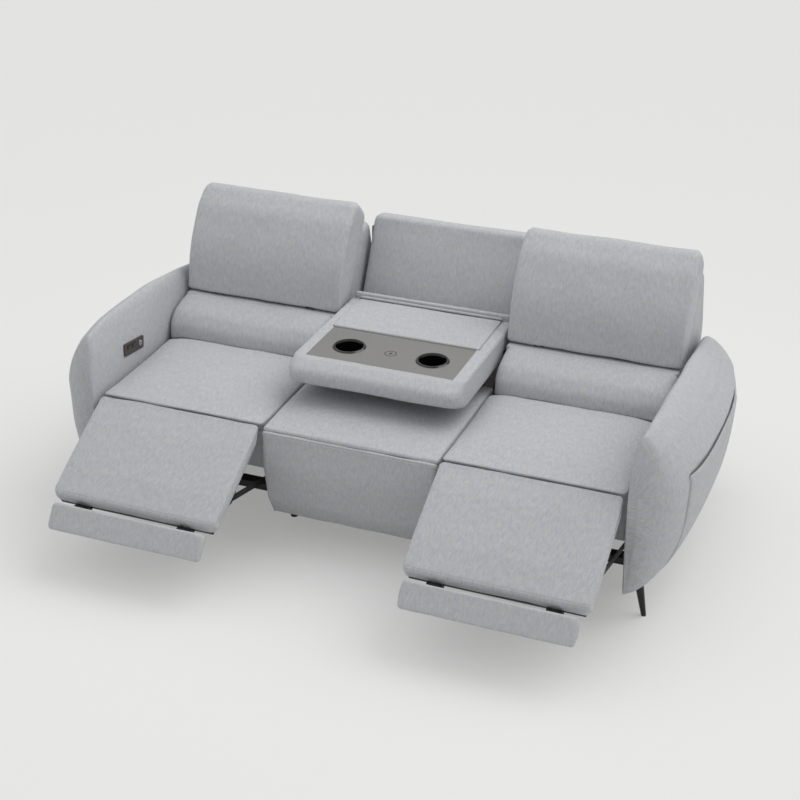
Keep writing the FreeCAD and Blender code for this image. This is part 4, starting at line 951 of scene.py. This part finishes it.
def flat_shape(name, body, loops, thickness, material):
    """Thin raised mark on the console plate from outlines in plan, the second one being a hole."""
    points = []
    faces = []
    low, high = PLATE_TOP - 0.1, PLATE_TOP + thickness
    outer = loops[0]
    count = len(outer)
    rings = [(outer, low), (outer, high)]
    if len(loops) == 2:
        rings += [(loops[1], high), (loops[1], low)]
    for loop, z in rings:
        points += [at(x, y, z) for x, y in loop]
    for r in range(len(rings) - 1):
        for k in range(count):
            n = (k + 1) % count
            faces.append((r * count + k, r * count + n, (r + 1) * count + n, (r + 1) * count + k))
    if len(loops) == 2:
        r = len(rings) - 1
        for k in range(count):
            n = (k + 1) % count
            faces.append((r * count + k, r * count + n, n, k))
    else:
        faces += [tuple(range(count))[::-1], tuple(range(count, 2 * count))]
    if signed_volume(np.array(points), faces) < 0:
        faces = [face[::-1] for face in faces]
    obj = mesh_object(name, points, faces, False)
    return finish_piece(obj, body, material)


def circle(radius, count=96):
    return [(radius * math.cos(2 * math.pi * k / count), CUP_Y + radius * math.sin(2 * math.pi * k / count))
            for k in range(count)]


flat_shape("charging_ring_mark", "console", [circle(19.0), circle(17.0)], 0.25, "dark")
bolt = [(2, 9), (-6, -2), (-1, -2), (-3, -9), (6, 2), (1, 2)]
flat_shape("charging_bolt_mark", "console", [[(x, CUP_Y + y) for x, y in bolt]], 0.25, "dark")


# Floor, light and camera

FLOOR_REACH = 40
SHADOW_LIFT = 0.34
floor = mesh_object("floor", [(x * FLOOR_REACH, y * FLOOR_REACH, 0) for x, y in ((-1, -1), (1, -1), (1, 1), (-1, 1))],
                    [(0, 1, 2, 3)], False)
floor_tree = Tree("pale_floor")
floor_tree.set(Base_Color=srgb(236, 236, 235), Roughness=0.9, Specular_IOR_Level=0.1)
glow = floor_tree.add("Emission", {"Color": srgb(240, 240, 239), "Strength": 1.0}).outputs[0]
path_kind = floor_tree.add("LightPath").outputs
seen = floor_tree.sum(floor_tree.sum(path_kind["Is Camera Ray"], path_kind["Is Glossy Ray"], "MAXIMUM"),
                      path_kind["Is Transmission Ray"], "MAXIMUM")
blend = floor_tree.add("MixShader", {0: floor_tree.sum(seen, SHADOW_LIFT, "MULTIPLY")})
floor_tree.links.new(floor_tree.shader.outputs[0], blend.inputs[1])
floor_tree.links.new(glow, blend.inputs[2])
floor_output = [n for n in floor_tree.nodes if n.bl_idname == "ShaderNodeOutputMaterial"][0]
floor_tree.links.new(blend.outputs[0], floor_output.inputs[0])
floor.data.materials.append(floor_tree.material)

world = bpy.data.worlds.new("studio")
world.use_nodes = True
world.node_tree.nodes["Background"].inputs[0].default_value = srgb(250, 250, 250)
world.node_tree.nodes["Background"].inputs[1].default_value = 0.5
bpy.context.scene.world = world


def sun(name, azimuth, elevation, strength, spread, colour):
    lamp = bpy.data.lights.new(name, "SUN")
    lamp.energy = strength
    lamp.angle = math.radians(spread)
    lamp.color = colour
    obj = bpy.data.objects.new(name, lamp)
    a, e = math.radians(azimuth), math.radians(elevation)
    toward = Vector((math.sin(a) * math.cos(e), -math.cos(a) * math.cos(e), math.sin(e)))
    obj.rotation_euler = toward.to_track_quat("Z", "Y").to_euler()
    bpy.context.scene.collection.objects.link(obj)


sun("overhead", 125.0, 50.0, 1.15, 55.0, (1.0, 0.998, 0.992))
sun("soft_left", -60.0, 60.0, 0.35, 70.0, (0.985, 0.992, 1.0))
lamp = bpy.data.lights.new("overhead_panel", "AREA")
lamp.shape = "RECTANGLE"
lamp.size, lamp.size_y = 2.6, 1.6
lamp.energy = 8.0
panel = bpy.data.objects.new("overhead_panel", lamp)
panel.location = (0.2, 0.3, 2.2)
bpy.context.scene.collection.objects.link(panel)

camera = bpy.data.cameras.new("photo_camera")
camera.sensor_width = SENSOR
camera.lens = CAMERA_LENS
camera.clip_end = 200.0
camera_object = bpy.data.objects.new("photo_camera", camera)
azimuth, elevation = math.radians(CAMERA_AZIMUTH), math.radians(CAMERA_ELEVATION)
target = Vector(at(*CAMERA_TARGET))
back = Vector((math.sin(azimuth) * math.cos(elevation), -math.cos(azimuth) * math.cos(elevation),
               math.sin(elevation)))
camera_object.location = target + back * CAMERA_DISTANCE * MM
turn = back.to_track_quat("Z", "Y")
camera_object.rotation_euler = (turn @ Vector((0, 0, 1)).rotation_difference(Vector((0, 0, 1)))).to_euler()
camera_object.rotation_euler.rotate_axis("Z", math.radians(CAMERA_ROLL))
bpy.context.scene.collection.objects.link(camera_object)
bpy.context.scene.camera = camera_object
bpy.context.scene.view_settings.view_transform = "Standard"
